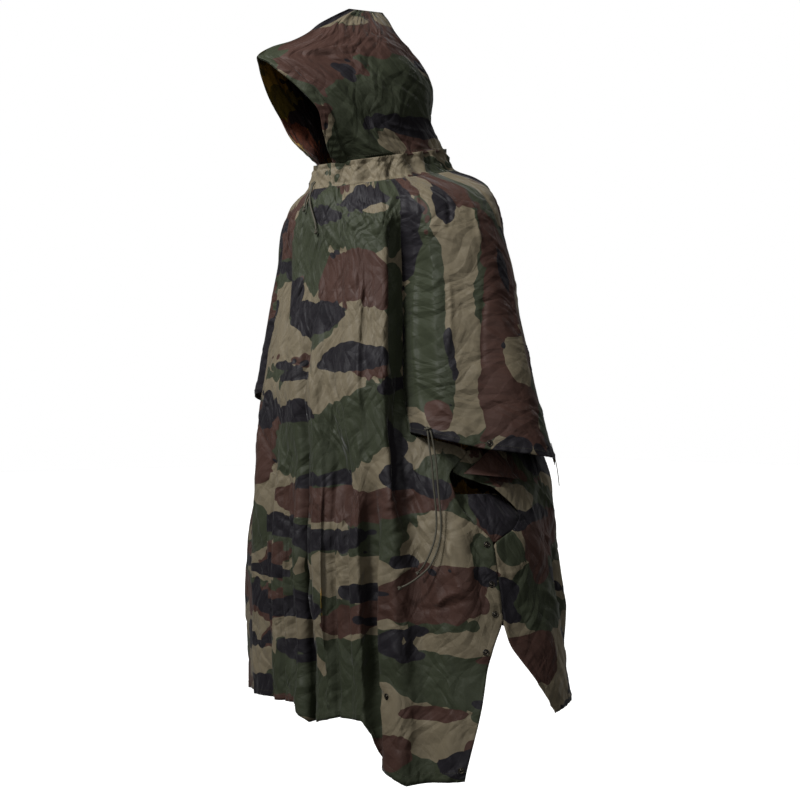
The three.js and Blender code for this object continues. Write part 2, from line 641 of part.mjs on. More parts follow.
const cuffCordShort = [
  { x: 285, y: -135, z: -490 },
  { x: 288, y: -137, z: -492 },
  { x: 290, y: -138, z: -498 },
  { x: 292, y: -138, z: -506 },
  { x: 295, y: -137, z: -530 },
  { x: 298, y: -134, z: -560 },
  { x: 300, y: -132, z: -597 },
  { x: 302, y: -130, z: -624 },
  { x: 304, y: -129, z: -648 },
  { x: 305, y: -129, z: -671 },
  { x: 305, y: -133, z: -695 },
  { x: 302, y: -139, z: -716 },
  { x: 297, y: -144, z: -732 },
  { x: 290, y: -148, z: -746 },
  { x: 282, y: -151, z: -756 },
]
const cuffCordLong = [
  { x: 290, y: -132, z: -496 },
  { x: 293, y: -134, z: -497 },
  { x: 296, y: -134, z: -502 },
  { x: 298, y: -133, z: -512 },
  { x: 302, y: -130, z: -540 },
  { x: 305, y: -128, z: -570 },
  { x: 307, y: -127, z: -600 },
  { x: 310, y: -126, z: -630 },
  { x: 313, y: -125, z: -660 },
  { x: 314, y: -127, z: -690 },
  { x: 312, y: -134, z: -718 },
  { x: 305, y: -146, z: -746 },
  { x: 292, y: -163, z: -766 },
  { x: 279, y: -175, z: -778 },
  { x: 270, y: -183, z: -784 },
]
const cordSides = 8
const cordStep = 5 * cordRadius
const knotSides = 8
const knotRings = 5

const addCord = (name, route) => {
  const points = route.map(point => new THREE.Vector3(point.x, point.y, point.z))
  const path = new THREE.CatmullRomCurve3(points)
  const outline = new THREE.Shape()
  for (let corner = 0; corner < cordSides; corner++) {
    const angle = 2 * Math.PI * corner / cordSides
    outline[corner ? 'lineTo' : 'moveTo'](cordRadius * Math.cos(angle), cordRadius * Math.sin(angle))
  }
  const steps = Math.round(path.getLength() / cordStep)
  const tube = new THREE.ExtrudeGeometry(outline, { extrudePath: path, steps, bevelEnabled: false })
  addMesh(name, tube, oliveCord)
  const knot = new THREE.SphereGeometry(knotRadius, knotSides, knotRings)
  const onwards = path.getTangent(1)
  knot.applyQuaternion(new THREE.Quaternion().setFromUnitVectors(new THREE.Vector3(0, 1, 0), onwards))
  const mesh = addMesh(name.replace('cord', 'knot'), knot, oliveCord)
  mesh.position.copy(path.getPoint(1)).addScaledVector(onwards, knotRadius + seamGap)
}
addCord('neck_cord_long', neckCordLong)
addCord('neck_cord_short', neckCordShort)
addCord('cuff_cord_short', cuffCordShort)
addCord('cuff_cord_long', cuffCordLong)

export default poncho
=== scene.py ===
# Rain poncho, worn and filled out, with no wearer in it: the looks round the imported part.
# Metres, +Z up, the front faces -Y and the wearer's left is +X.
# The tables of the cloth's form are in millimetres.
import math
import bpy
import numpy as np
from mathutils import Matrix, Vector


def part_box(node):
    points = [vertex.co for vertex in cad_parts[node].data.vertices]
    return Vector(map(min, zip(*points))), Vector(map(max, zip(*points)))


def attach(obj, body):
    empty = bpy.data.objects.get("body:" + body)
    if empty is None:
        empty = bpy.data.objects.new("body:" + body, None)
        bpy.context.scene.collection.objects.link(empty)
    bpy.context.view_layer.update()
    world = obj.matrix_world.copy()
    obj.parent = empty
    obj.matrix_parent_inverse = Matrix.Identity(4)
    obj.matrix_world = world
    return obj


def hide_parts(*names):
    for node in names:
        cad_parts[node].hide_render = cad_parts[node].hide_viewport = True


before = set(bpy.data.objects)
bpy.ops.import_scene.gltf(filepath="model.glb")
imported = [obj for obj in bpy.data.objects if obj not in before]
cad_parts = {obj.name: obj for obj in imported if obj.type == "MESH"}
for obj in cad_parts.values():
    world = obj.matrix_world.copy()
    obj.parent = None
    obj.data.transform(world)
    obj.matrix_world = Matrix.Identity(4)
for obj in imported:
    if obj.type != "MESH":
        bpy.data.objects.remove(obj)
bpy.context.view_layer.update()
mm = 0.001
print("frame loaded:", len(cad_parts), "nodes")

# Camera, level with the middle of the poncho, from the wearer's front left
cameraSet = {"azimuth": 50.0, "distance": 4.0, "aside": 0.03, "height": -0.44, "lens": 90.0, "sensor": 36.0}


def makeCamera(settings):
    turn = math.radians(settings["azimuth"])
    data = bpy.data.cameras.new("studioCamera")
    data.lens = settings["lens"]
    data.sensor_width = settings["sensor"]
    data.clip_end = 100
    camera = bpy.data.objects.new("studioCamera", data)
    camera.location = (
        settings["distance"] * math.sin(turn) + settings["aside"] * math.cos(turn),
        -settings["distance"] * math.cos(turn) + settings["aside"] * math.sin(turn),
        settings["height"],
    )
    camera.rotation_euler = (math.radians(90), 0, turn)
    bpy.context.scene.collection.objects.link(camera)
    bpy.context.scene.camera = camera


makeCamera(cameraSet)


# Colours and nodes
def linear(hexColour):
    values = [int(hexColour[i : i + 2], 16) / 255 for i in (1, 3, 5)]
    return [v / 12.92 if v <= 0.04045 else ((v + 0.055) / 1.055) ** 2.4 for v in values] + [1.0]


colourA, colourB, mixedColour = 6, 7, 2  # the Mix node's sockets for colours


def addNode(tree, kind, settings=None, inputs=None):
    node = tree.nodes.new(kind)
    for name, value in (settings or {}).items():
        setattr(node, name, value)
    for socket, value in (inputs or {}).items():
        if isinstance(value, bpy.types.NodeSocket):
            tree.links.new(value, node.inputs[socket])
        else:
            node.inputs[socket].default_value = value
    return node


def newMaterial(name):
    material = bpy.data.materials.new(name)
    material.use_nodes = True
    tree = material.node_tree
    tree.nodes.clear()
    shader = addNode(tree, "ShaderNodeBsdfPrincipled")
    addNode(tree, "ShaderNodeOutputMaterial", inputs={"Surface": shader.outputs["BSDF"]})
    return material, tree, shader


# Coated rip-stop nylon, roller printed in woodland camouflage: flat ink edges, and a thin coat that shines
# softly. The inside is the same cloth, where the print shows through the coat, duller and browner.
outsideInks = {"sand": "#5d5545", "green": "#2a2e21", "brown": "#37251f", "charcoal": "#161418"}
insideInks = {"sand": "#8d6c2a", "green": "#5a4c1e", "brown": "#563022", "charcoal": "#2a2222"}
printSet = {
    "blotchWidth": 225,  # mm between blotches, across the sheet
    "flattening": 2.5,  # how many times wider than high a blotch is
    "blotchDetail": 0.3,
    "blotchRoughness": 0.4,
    "lobe": 27,  # mm across one lobe of a blotch's edge
    "lobeDepth": 0.18,
    "lobeUnevenness": 0.75,
    "inkEdge": 0.0015,
    "bend": 20,  # mm that the blotches are bent by
    "wearPerMetre": 14.0,
    "wearDetail": 3.0,
    "fade": {"To Min": 0.86, "To Max": 1.14},
    "polished": 0.08,  # how far wear takes the roughness down
    "scuffed": 0.1,  # and up
    "specular": 0.15,
    "sheen": 0.06,
    "sheenRoughness": 0.4,
    "ripstop": 5.2,  # mm between the thicker threads, drawn a little coarser than real so that they show
    "threadEdge": 0.43,  # where a thread begins, from none to a half of that distance
    "threadHeight": 0.12,
    "threadRelief": 0.35,
    "creases": [  # mm across a facet, how many times longer than wide, degrees from straight down, steepness
        {"cell": 50, "longer": 1.7, "turn": 6, "slope": 0.1, "seed": (0.0, 0.0, 0.0)},
        {"cell": 30, "longer": 4.5, "turn": 32, "slope": 0.17, "seed": (1.7, 8.1, 0.0)},
        {"cell": 26, "longer": 4.0, "turn": -27, "slope": 0.16, "seed": (9.2, 3.3, 0.0)},
        {"cell": 17, "longer": 1.4, "turn": 15, "slope": 0.09, "seed": (5.3, 2.1, 0.0)},
    ],
}
printLayers = [
    {"ink": "green", "size": 1.0, "level": 0.425, "seed": (3.7, 1.9, 0.0)},
    {"ink": "brown", "size": 0.92, "level": 0.497, "seed": (11.3, 7.2, 0.0)},
    {"ink": "charcoal", "size": 0.7, "level": 0.494, "seed": (23.1, 14.8, 0.0)},
]


def printedNylon(name, settings, layers, inks, roughness):
    material, tree, shader = newMaterial(name)
    flat = addNode(tree, "ShaderNodeUVMap", {"uv_map": "flatCut"}).outputs[0]
    bendNoise = addNode(tree, "ShaderNodeTexNoise", {"noise_dimensions": "2D"},
                        {"Vector": flat, "Scale": 1 / (4 * settings["bend"] * mm), "Detail": 0.0})
    centred = addNode(tree, "ShaderNodeVectorMath", {"operation": "SUBTRACT"},
                      {0: bendNoise.outputs["Color"], 1: (0.5, 0.5, 0.5)})
    bend = addNode(tree, "ShaderNodeVectorMath", {"operation": "SCALE"},
                   {0: centred.outputs[0], "Scale": 2 * settings["bend"] * mm})
    bentFlat = addNode(tree, "ShaderNodeVectorMath", {"operation": "ADD"}, {0: flat, 1: bend.outputs[0]})
    bent = bentFlat.outputs[0]
    lobes = addNode(tree, "ShaderNodeTexVoronoi", {"voronoi_dimensions": "2D", "feature": "F1"},
                    {"Vector": bent, "Scale": 1 / (settings["lobe"] * mm),
                     "Randomness": settings["lobeUnevenness"]})
    favour = addNode(tree, "ShaderNodeAttribute", {"attribute_name": "printAndShadeFavour"}).outputs["Vector"]
    favoured = addNode(tree, "ShaderNodeSeparateXYZ", None, {0: favour}).outputs
    ground = addNode(tree, "ShaderNodeRGB")
    ground.outputs[0].default_value = linear(inks["sand"])
    colour = ground.outputs[0]
    for index, layer in enumerate(layers):
        placedPrint = addNode(tree, "ShaderNodeMapping", {"vector_type": "POINT"},
                              {"Vector": bent, "Location": layer["seed"],
                               "Scale": (1, settings["flattening"], 1)})
        width = settings["blotchWidth"] * layer["size"] * mm
        blotches = addNode(tree, "ShaderNodeTexNoise", {"noise_dimensions": "2D"},
                           {"Vector": placedPrint.outputs[0], "Scale": 1 / width,
                            "Detail": settings["blotchDetail"], "Roughness": settings["blotchRoughness"]})
        wanted = addNode(tree, "ShaderNodeMath", {"operation": "ADD"},
                         {0: blotches.outputs[0], 1: favoured[index]})
        lobed = addNode(tree, "ShaderNodeMath", {"operation": "MULTIPLY_ADD"},
                        {0: lobes.outputs["Distance"], 1: -settings["lobeDepth"], 2: wanted.outputs[0]})
        inked = addNode(tree, "ShaderNodeMapRange", None,
                        {"Value": lobed.outputs[0], "From Min": layer["level"] - settings["inkEdge"],
                         "From Max": layer["level"] + settings["inkEdge"]})
        mixed = addNode(tree, "ShaderNodeMix", {"data_type": "RGBA"},
                        {"Factor": inked.outputs[0], colourA: colour, colourB: linear(inks[layer["ink"]])})
        colour = mixed.outputs[mixedColour]
    worn = addNode(tree, "ShaderNodeTexNoise", None,
                   {"Vector": flat, "Scale": settings["wearPerMetre"], "Detail": settings["wearDetail"]})
    fade = addNode(tree, "ShaderNodeMapRange", None, {"Value": worn.outputs[0]} | settings["fade"])
    faded = addNode(tree, "ShaderNodeVectorMath", {"operation": "SCALE"},
                    {0: colour, "Scale": fade.outputs[0]})
    tree.links.new(faded.outputs[0], shader.inputs["Base Color"])
    rough = addNode(tree, "ShaderNodeMapRange", None,
                    {"Value": worn.outputs[0], "To Min": roughness - settings["polished"],
                     "To Max": roughness + settings["scuffed"]})
    tree.links.new(rough.outputs[0], shader.inputs["Roughness"])
    shader.inputs["Specular IOR Level"].default_value = settings["specular"]
    shader.inputs["Sheen Weight"].default_value = settings["sheen"]
    shader.inputs["Sheen Roughness"].default_value = settings["sheenRoughness"]
    # Sharp creases with flat facets between them, finer than the mesh, and the rip-stop's thicker threads
    surface = {}
    for crease in settings["creases"]:
        turned = addNode(tree, "ShaderNodeMapping", {"vector_type": "POINT"},
                         {"Vector": bent, "Rotation": (0, 0, math.radians(crease["turn"]))})
        cells = addNode(tree, "ShaderNodeMapping", {"vector_type": "POINT"},
                        {"Vector": turned.outputs[0], "Location": crease["seed"],
                         "Scale": (crease["longer"], 1, 1)})
        roofs = addNode(tree, "ShaderNodeTexVoronoi",
                        {"voronoi_dimensions": "2D", "feature": "DISTANCE_TO_EDGE"},
                        {"Vector": cells.outputs[0], "Scale": 1 / (crease["cell"] * crease["longer"] * mm)})
        depth = crease["slope"] * crease["cell"] * mm
        creased = addNode(tree, "ShaderNodeBump", None,
                          {"Height": roofs.outputs["Distance"], "Strength": 1.0, "Distance": depth} | surface)
        surface = {"Normal": creased.outputs[0]}
    split = addNode(tree, "ShaderNodeSeparateXYZ", None, {0: flat})
    threads = []
    for axis in (0, 1):
        turns = addNode(tree, "ShaderNodeMath", {"operation": "MULTIPLY"},
                        {0: split.outputs[axis], 1: 1 / (settings["ripstop"] * mm)})
        part = addNode(tree, "ShaderNodeMath", {"operation": "PINGPONG"}, {0: turns.outputs[0], 1: 0.5})
        threads.append(addNode(tree, "ShaderNodeMath", {"operation": "GREATER_THAN"},
                               {0: part.outputs[0], 1: settings["threadEdge"]}).outputs[0])
    grid = addNode(tree, "ShaderNodeMath", {"operation": "MAXIMUM"}, dict(enumerate(threads)))
    ribbed = addNode(tree, "ShaderNodeBump", None,
                     {"Height": grid.outputs[0], "Strength": settings["threadRelief"],
                      "Distance": settings["threadHeight"] * mm} | surface)
    tree.links.new(ribbed.outputs[0], shader.inputs["Normal"])
    return material


outsideCloth = printedNylon("coatedRipstopNylon", printSet, printLayers, outsideInks, 0.58)
insideCloth = printedNylon("coatedRipstopNylonInside", printSet, printLayers, insideInks, 0.36)


# Braided nylon cord: matte, in herringbone bundles, with painted shade in the grooves between them
braidSet = {
    "colour": "#3f3b2d",
    # the dark colour is painted shade for the grooves between the bundles
    "dark": "#25231b",
    "bundle": 1.6,  # mm along the cord for one bundle
    "lean": 3.0,  # bundles that a strand crosses in one turn round the cord
}


def braidedCord(settings):
    material, tree, shader = newMaterial("braidedNylonCord")
    along = addNode(tree, "ShaderNodeUVMap", {"uv_map": "alongCord"}).outputs[0]
    split = addNode(tree, "ShaderNodeSeparateXYZ", None, {0: along})
    waves = []
    bundles = addNode(tree, "ShaderNodeMath", {"operation": "MULTIPLY"},
                      {0: split.outputs[1], 1: 1 / (settings["bundle"] * mm)})
    for lean in (settings["lean"], -settings["lean"]):
        turned = addNode(tree, "ShaderNodeMath", {"operation": "MULTIPLY_ADD"},
                         {0: split.outputs[0], 1: lean, 2: bundles.outputs[0]})
        waves.append(addNode(tree, "ShaderNodeMath", {"operation": "PINGPONG"},
                             {0: turned.outputs[0], 1: 0.5}).outputs[0])
    relief = addNode(tree, "ShaderNodeMath", {"operation": "MAXIMUM"}, dict(enumerate(waves))).outputs[0]
    # The colour is darker where the relief is low: painted shade in the grooves between the bundles.
    shade = addNode(tree, "ShaderNodeMapRange", None, {"Value": relief, "From Min": 0.1, "From Max": 0.5})
    colour = addNode(tree, "ShaderNodeMix", {"data_type": "RGBA"},
                     {"Factor": shade.outputs[0], colourA: linear(settings["dark"]),
                      colourB: linear(settings["colour"])})
    tree.links.new(colour.outputs[mixedColour], shader.inputs["Base Color"])
    bump = addNode(tree, "ShaderNodeBump", None, {"Height": relief, "Strength": 0.6, "Distance": 0.3 * mm})
    tree.links.new(bump.outputs[0], shader.inputs["Normal"])
    shader.inputs["Roughness"].default_value = 0.75
    return material


# Blackened brass, stamped and tumbled: dark, with brighter metal worn through on the edges
metalSet = {"black": "#211f1d", "worn": "#5f5747", "grain": 1.3}  # mm between spots of wear


def blackenedBrass(settings):
    material, tree, shader = newMaterial("blackenedBrass")
    place = addNode(tree, "ShaderNodeTexCoord").outputs["Object"]
    spots = addNode(tree, "ShaderNodeTexNoise", None,
                    {"Vector": place, "Scale": 1 / (settings["grain"] * mm), "Detail": 2.0})
    wear = addNode(tree, "ShaderNodeMapRange", None,
                   {"Value": spots.outputs[0], "From Min": 0.52, "From Max": 0.7})
    colour = addNode(tree, "ShaderNodeMix", {"data_type": "RGBA"},
                     {"Factor": wear.outputs[0], colourA: linear(settings["black"]),
                      colourB: linear(settings["worn"])})
    tree.links.new(colour.outputs[mixedColour], shader.inputs["Base Color"])
    rough = addNode(tree, "ShaderNodeMapRange", None,
                    {"Value": spots.outputs[0], "To Min": 0.28, "To Max": 0.48})
    tree.links.new(rough.outputs[0], shader.inputs["Roughness"])
    shader.inputs["Metallic"].default_value = 0.9
    return material


# Spun polyester sewing thread, twisted: fuzzy and matte
threadSet = {"colour": "#3b3a2b", "twist": 0.5}  # mm between twists


def sewingThread(settings):
    material, tree, shader = newMaterial("spunPolyesterThread")
    place = addNode(tree, "ShaderNodeTexCoord").outputs["Object"]
    twist = addNode(tree, "ShaderNodeTexNoise", None,
                    {"Vector": place, "Scale": 1 / (settings["twist"] * mm)})
    tone = addNode(tree, "ShaderNodeMapRange", None,
                   {"Value": twist.outputs[0], "To Min": 0.7, "To Max": 1.2})
    colour = addNode(tree, "ShaderNodeVectorMath", {"operation": "SCALE"},
                     {0: linear(settings["colour"])[:3], "Scale": tone.outputs[0]})
    tree.links.new(colour.outputs[0], shader.inputs["Base Color"])
    shader.inputs["Roughness"].default_value = 0.85
    return material


cordMaterial = braidedCord(braidSet)
metalMaterial = blackenedBrass(metalSet)
threadMaterial = sewingThread(threadSet)
print("materials made")


# Meshes
def addObject(name, mesh, materials):
    for material in materials:
        mesh.materials.append(material)
    piece = bpy.data.objects.new(name, mesh)
    bpy.context.scene.collection.objects.link(piece)
    return piece


def gridMesh(name, points, uv, uvName, closedRound=False, favour=None):
    # Rows run down, columns run to the left as seen from above, so faces point outwards
    rows, columns = points.shape[:2]
    spans = columns if closedRound else columns - 1
    row, column = np.meshgrid(np.arange(rows - 1), np.arange(spans), indexing="ij")
    following = (column + 1) % columns
    corners = [(row, column), (row + 1, column), (row + 1, following), (row, following)]
    faces = np.stack([r * columns + c for r, c in corners], -1).reshape(-1, 4)
    mesh = bpy.data.meshes.new(name)
    mesh.from_pydata((points.reshape(-1, 3) * mm).tolist(), [], faces.tolist())
    layer = mesh.uv_layers.new(name=uvName)
    uvCorners = [(row, column), (row + 1, column), (row + 1, column + 1), (row, column + 1)]
    values = np.stack([uv[r, c] for r, c in uvCorners], -2).reshape(-1, 2)
    layer.data.foreach_set("uv", values.astype(np.float32).ravel())
    if favour is not None:
        attribute = mesh.attributes.new("printAndShadeFavour", "FLOAT_VECTOR", "POINT")
        attribute.data.foreach_set("vector", favour.astype(np.float32).ravel())
    mesh.polygons.foreach_set("use_smooth", np.ones(len(mesh.polygons), bool))
    return mesh


def unit(vectors):
    return vectors / np.maximum(np.linalg.norm(vectors, axis=-1, keepdims=True), 1e-9)


def gridNormals(points, closedRound=False):
    down = np.gradient(points, axis=0)
    if closedRound:
        around = np.roll(points, -1, axis=1) - np.roll(points, 1, axis=1)
    else:
        around = np.gradient(points, axis=1)
    return unit(np.cross(down, around))


# Cords. Each route starts at the cloth that the cord leaves and ends at its knot.
cordSet = {
    "radius": 1.8, "sides": 12, "step": 1.5, "curveSteps": 24,
    "knotRadius": 4.4, "knotThread": 0.82, "knotSides": 8, "knotPoints": 90,
}
cordRoutes = {
    "neckCordLong": {
        "nodes": ["neck_cord_long"], "knot": "neck_knot_long", "length": 0.122,
        "route": [
            (-0.034, -0.1501, -0.012), (-0.033, -0.157, -0.020), (-0.031, -0.161, -0.029),
            (-0.028, -0.167, -0.038), (-0.024, -0.171, -0.047), (-0.019, -0.174, -0.054),
            (-0.015, -0.176, -0.061), (-0.011, -0.177, -0.068), (-0.007, -0.178, -0.074),
            (-0.003, -0.179, -0.080), (0.001, -0.180, -0.086), (0.005, -0.181, -0.092),
            (0.008, -0.182, -0.098), (0.010, -0.182, -0.105), (0.011, -0.183, -0.111),
        ],
    },
    "neckCordShort": {
        "nodes": ["neck_cord_short"], "knot": "neck_knot_short", "length": 0.067,
        "route": [
            (-0.044, -0.1427, -0.010), (-0.045, -0.149, -0.014), (-0.045, -0.150, -0.018),
            (-0.044, -0.151, -0.022), (-0.044, -0.153, -0.026), (-0.043, -0.155, -0.031),
            (-0.043, -0.159, -0.035), (-0.042, -0.162, -0.039), (-0.041, -0.165, -0.043),
            (-0.040, -0.168, -0.047), (-0.038, -0.170, -0.051), (-0.037, -0.172, -0.054),
            (-0.036, -0.173, -0.058), (-0.035, -0.175, -0.061), (-0.035, -0.176, -0.064),
        ],
    },
    "cuffCordShort": {
        "nodes": ["cuff_cord_short"], "knot": "cuff_knot_short", "length": 0.277,
        "route": [
            (0.285, -0.135, -0.490), (0.288, -0.137, -0.492), (0.290, -0.138, -0.498),
            (0.292, -0.138, -0.506), (0.295, -0.137, -0.530), (0.298, -0.134, -0.560),
            (0.300, -0.132, -0.597), (0.302, -0.130, -0.624), (0.304, -0.129, -0.648),
            (0.305, -0.129, -0.671), (0.305, -0.133, -0.695), (0.302, -0.139, -0.716),
            (0.297, -0.144, -0.732), (0.290, -0.148, -0.746), (0.282, -0.151, -0.756),
        ],
    },
    "cuffCordLong": {
        "nodes": ["cuff_cord_long"], "knot": "cuff_knot_long", "length": 0.316,
        "route": [
            (0.290, -0.132, -0.496), (0.293, -0.134, -0.497), (0.296, -0.134, -0.502),
            (0.298, -0.133, -0.512), (0.302, -0.130, -0.540), (0.305, -0.128, -0.570),
            (0.307, -0.127, -0.600), (0.310, -0.126, -0.630), (0.313, -0.125, -0.660),
            (0.314, -0.127, -0.690), (0.312, -0.134, -0.718), (0.305, -0.146, -0.746),
            (0.292, -0.163, -0.766), (0.279, -0.175, -0.778), (0.270, -0.183, -0.784),
        ],
    },
}


def smoothRoute(route, step):
    # Points a step apart on a smooth curve through the route's points
    points = np.array(route, float)
    padded = np.vstack([2 * points[0] - points[1], points, 2 * points[-1] - points[-2]])
    share = np.linspace(0, 1, cordSet["curveSteps"], endpoint=False)[:, None]
    stretches = []
    for before, first, last, after in zip(padded, padded[1:], padded[2:], padded[3:]):
        stretches.append(0.5 * (2 * first + (last - before) * share
                                + (2 * before - 5 * first + 4 * last - after) * share**2
                                + (3 * first - before - 3 * last + after) * share**3))
    line = np.vstack(stretches + [points[-1:]])
    travelled = np.concatenate([[0], np.cumsum(np.linalg.norm(np.diff(line, axis=0), axis=1))])
    stops = np.linspace(0, travelled[-1], max(3, round(travelled[-1] / step) + 1))
    return np.stack([np.interp(stops, travelled, line[:, axis]) for axis in range(3)], -1)


def tubeMesh(name, path, radius, sides, closedLoop=False):
    # A tube with closed ends along the path, in metres, with the way along it in its UV map
    following = unit(np.roll(path, -1, 0) - np.roll(path, 1, 0) if closedLoop else np.gradient(path, axis=0))
    side = unit(np.cross(following[0], (0.3, 0.2, 1.0)))
    rings = []
    for place, ahead in zip(path, following):
        side = unit(side - ahead * np.dot(side, ahead))
        up = np.cross(ahead, side)
        turn = np.linspace(0, 2 * math.pi, sides, endpoint=False)[:, None]
        rings.append(place + radius * (np.cos(turn) * side + np.sin(turn) * up))
    rings = np.array(rings)
    count = len(path)
    spans = count if closedLoop else count - 1
    faces = []
    uv = []
    travelled = np.concatenate([[0], np.cumsum(np.linalg.norm(np.diff(path, axis=0), axis=1))])
    travelled = np.append(travelled, travelled[-1] + np.linalg.norm(path[0] - path[-1]))
    for ring in range(spans):
        for corner in range(sides):
            a, b = ring * sides + corner, ring * sides + (corner + 1) % sides
            ahead = ((ring + 1) % count) * sides - ring * sides
            faces.append((a, b, b + ahead, a + ahead))
            uv += [(corner / sides, travelled[ring]), ((corner + 1) / sides, travelled[ring]),
                   ((corner + 1) / sides, travelled[ring + 1]), (corner / sides, travelled[ring + 1])]
    if not closedLoop:
        faces += [tuple(range(sides))[::-1], tuple(range((count - 1) * sides, count * sides))]
        uv += [(0.5, 0.0)] * sides + [(0.5, travelled[-2])] * sides
    mesh = bpy.data.meshes.new(name)
    mesh.from_pydata(rings.reshape(-1, 3).tolist(), [], faces)
    mesh.uv_layers.new(name="alongCord").data.foreach_set("uv", np.array(uv, np.float32).ravel())
    mesh.polygons.foreach_set("use_smooth", np.ones(len(faces), bool))
    return mesh


def knotLoop(centre, onwards, reach):
    # The closed path of an overhand knot, drawn tight, that fits in a ball of the given reach
    turn = np.linspace(0, 2 * math.pi, cordSet["knotPoints"], endpoint=False)
    trefoil = [np.sin(turn) + 2 * np.sin(2 * turn), np.cos(turn) - 2 * np.cos(2 * turn), -np.sin(3 * turn)]
    flat = np.stack(trefoil, -1)
    along = unit(np.array(onwards, float))
    side = unit(np.cross(along, (0.2, 1.0, 0.1)))
    up = np.cross(along, side)
    return centre + reach * (flat[:, :1] / 3 * along + flat[:, 1:2] / 3 * side + flat[:, 2:] * 0.5 * up)


def makeCords(settings, routes):
    for name, cord in routes.items():
        path = smoothRoute(cord["route"], settings["step"] * mm)
        tube = tubeMesh(name, path, settings["radius"] * mm, settings["sides"])
        piece = addObject(name, tube, [cordMaterial])
        low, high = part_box(cord["knot"])
        centre = (np.array(low) + np.array(high)) / 2
        thread = settings["radius"] * settings["knotThread"] * mm
        loop = knotLoop(centre, path[-1] - path[-2], settings["knotRadius"] * mm - thread)
        tied = tubeMesh(name + "Knot", loop, thread, settings["knotSides"], True)
        knot = addObject(name + "Knot", tied, [cordMaterial])
        for part, nodes in ((piece, cord["nodes"]), (knot, [cord["knot"]])):
            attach(part, "root")
            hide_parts(*nodes)


makeCords(cordSet, cordRoutes)
print("cords made")


# Tables, and one column read at values of its key, on straight lines or on a smooth curve through the rows
def namedRows(columns, rows):
    return [dict(zip(columns, row)) for row in rows]


def readStraight(table, key, column, values):
    rows = sorted((row[key], row[column]) for row in table)
    return np.interp(values, [row[0] for row in rows], [row[1] for row in rows])


def readSmooth(table, key, column, values):
    rows = sorted((row[key], row[column]) for row in table)
    keys, heights = (np.array([row[i] for row in rows], float) for i in (0, 1))
    steps = np.diff(heights) / np.diff(keys)
    slopes = np.concatenate([steps[:1], (heights[2:] - heights[:-2]) / (keys[2:] - keys[:-2]), steps[-1:]])
    values = np.clip(values, keys[0], keys[-1])
    index = np.clip(np.searchsorted(keys, values, side="right") - 1, 0, len(keys) - 2)
    span = keys[index + 1] - keys[index]
    share = (values - keys[index]) / span
    return ((2 * share**3 - 3 * share**2 + 1) * heights[index]
            + (share**3 - 2 * share**2 + share) * slopes[index] * span
            + (3 * share**2 - 2 * share**3) * heights[index + 1]
            + (share**3 - share**2) * slopes[index + 1] * span)


def smooth(start, end, values):
    share = np.clip((np.asarray(values, float) - start) / (end - start), 0, 1)
    return share**2 * (3 - 2 * share)


def bump(distance):
    return np.where(np.abs(distance) < 1, (1 - np.minimum(np.abs(distance), 1) ** 2) ** 2, 0)


def mix(start, end, share):
    return start + (end - start) * share


# The body's form, as in the part's source: level sections, large folds, and where the arms pass
bodySet = {
    "neckTilt": 0.17, "neckTiltFade": 150, "gathers": 18, "gatherHeight": 4, "gatherReach": 130,
    "foldFadeIn": 120, "armBackReach": 6,
}
bodyColumns = ("level", "halfWidth", "halfDepth", "shiftX", "shiftY")
bodySections = namedRows(bodyColumns, [
    (42, 118, 136, 0, -12), (20, 122, 139, -2, -10), (0, 144, 148, -2, -6), (-16, 187, 163, 0, 0),
    (-36, 227, 174, 3, 4), (-70, 255, 180, 4, 5), (-110, 270, 183, 5, 5), (-180, 285, 189, 7, 9),
    (-260, 302, 200, 8, 9), (-350, 321, 214, 8, 8), (-420, 336, 226, 9, 8), (-500, 350, 230, 16, 14),
    (-570, 362, 235, 22, 18), (-700, 374, 242, 25, 17), (-840, 386, 246, 28, 20), (-1000, 390, 248, 33, 25),
    (-1200, 388, 248, 33, 25),
])
belowHem = -1500
foldColumns = ("topAngle", "top", "endAngle", "end", "spread", "height")
folds = namedRows(foldColumns, [
    (-124, -90, -108, -420, 8, -14), (-112, -60, -100, -420, 9, 8), (-90, -260, -85, belowHem, 5, -17),
    (-81, -280, -79, belowHem, 6, 13), (-73, -320, -63, -760, 7, -14), (-60, -80, -55, belowHem, 8, 9),
    (-138, -420, -132, belowHem, 6, -20), (-128, -420, -122, belowHem, 8, 12),
    (-108, -480, -106, belowHem, 7, 8), (-52, -560, -52, belowHem, 5, -16),
    (-43, -520, -43, belowHem, 7, 16), (-34, -560, -31, belowHem, 6, -12), (-22, -590, -20, -900, 6, 16),
    (24, -700, 26, belowHem, 8, -16), (50, -120, 56, belowHem, 9, 14), (66, -260, 70, belowHem, 7, -20),
    (84, -140, 86, belowHem, 9, 13), (99, -200, 101, belowHem, 7, -19),
    (116, -120, 117, belowHem, 9, 14), (132, -300, 134, belowHem, 7, -18),
    (150, -560, 150, belowHem, 8, 12), (36, -500, 34, -960, 16, 14), (166, -640, 166, belowHem, 7, -14),
    (-160, -620, -158, belowHem, 8, 12), (-153, -450, -153, -900, 18, 14),
])
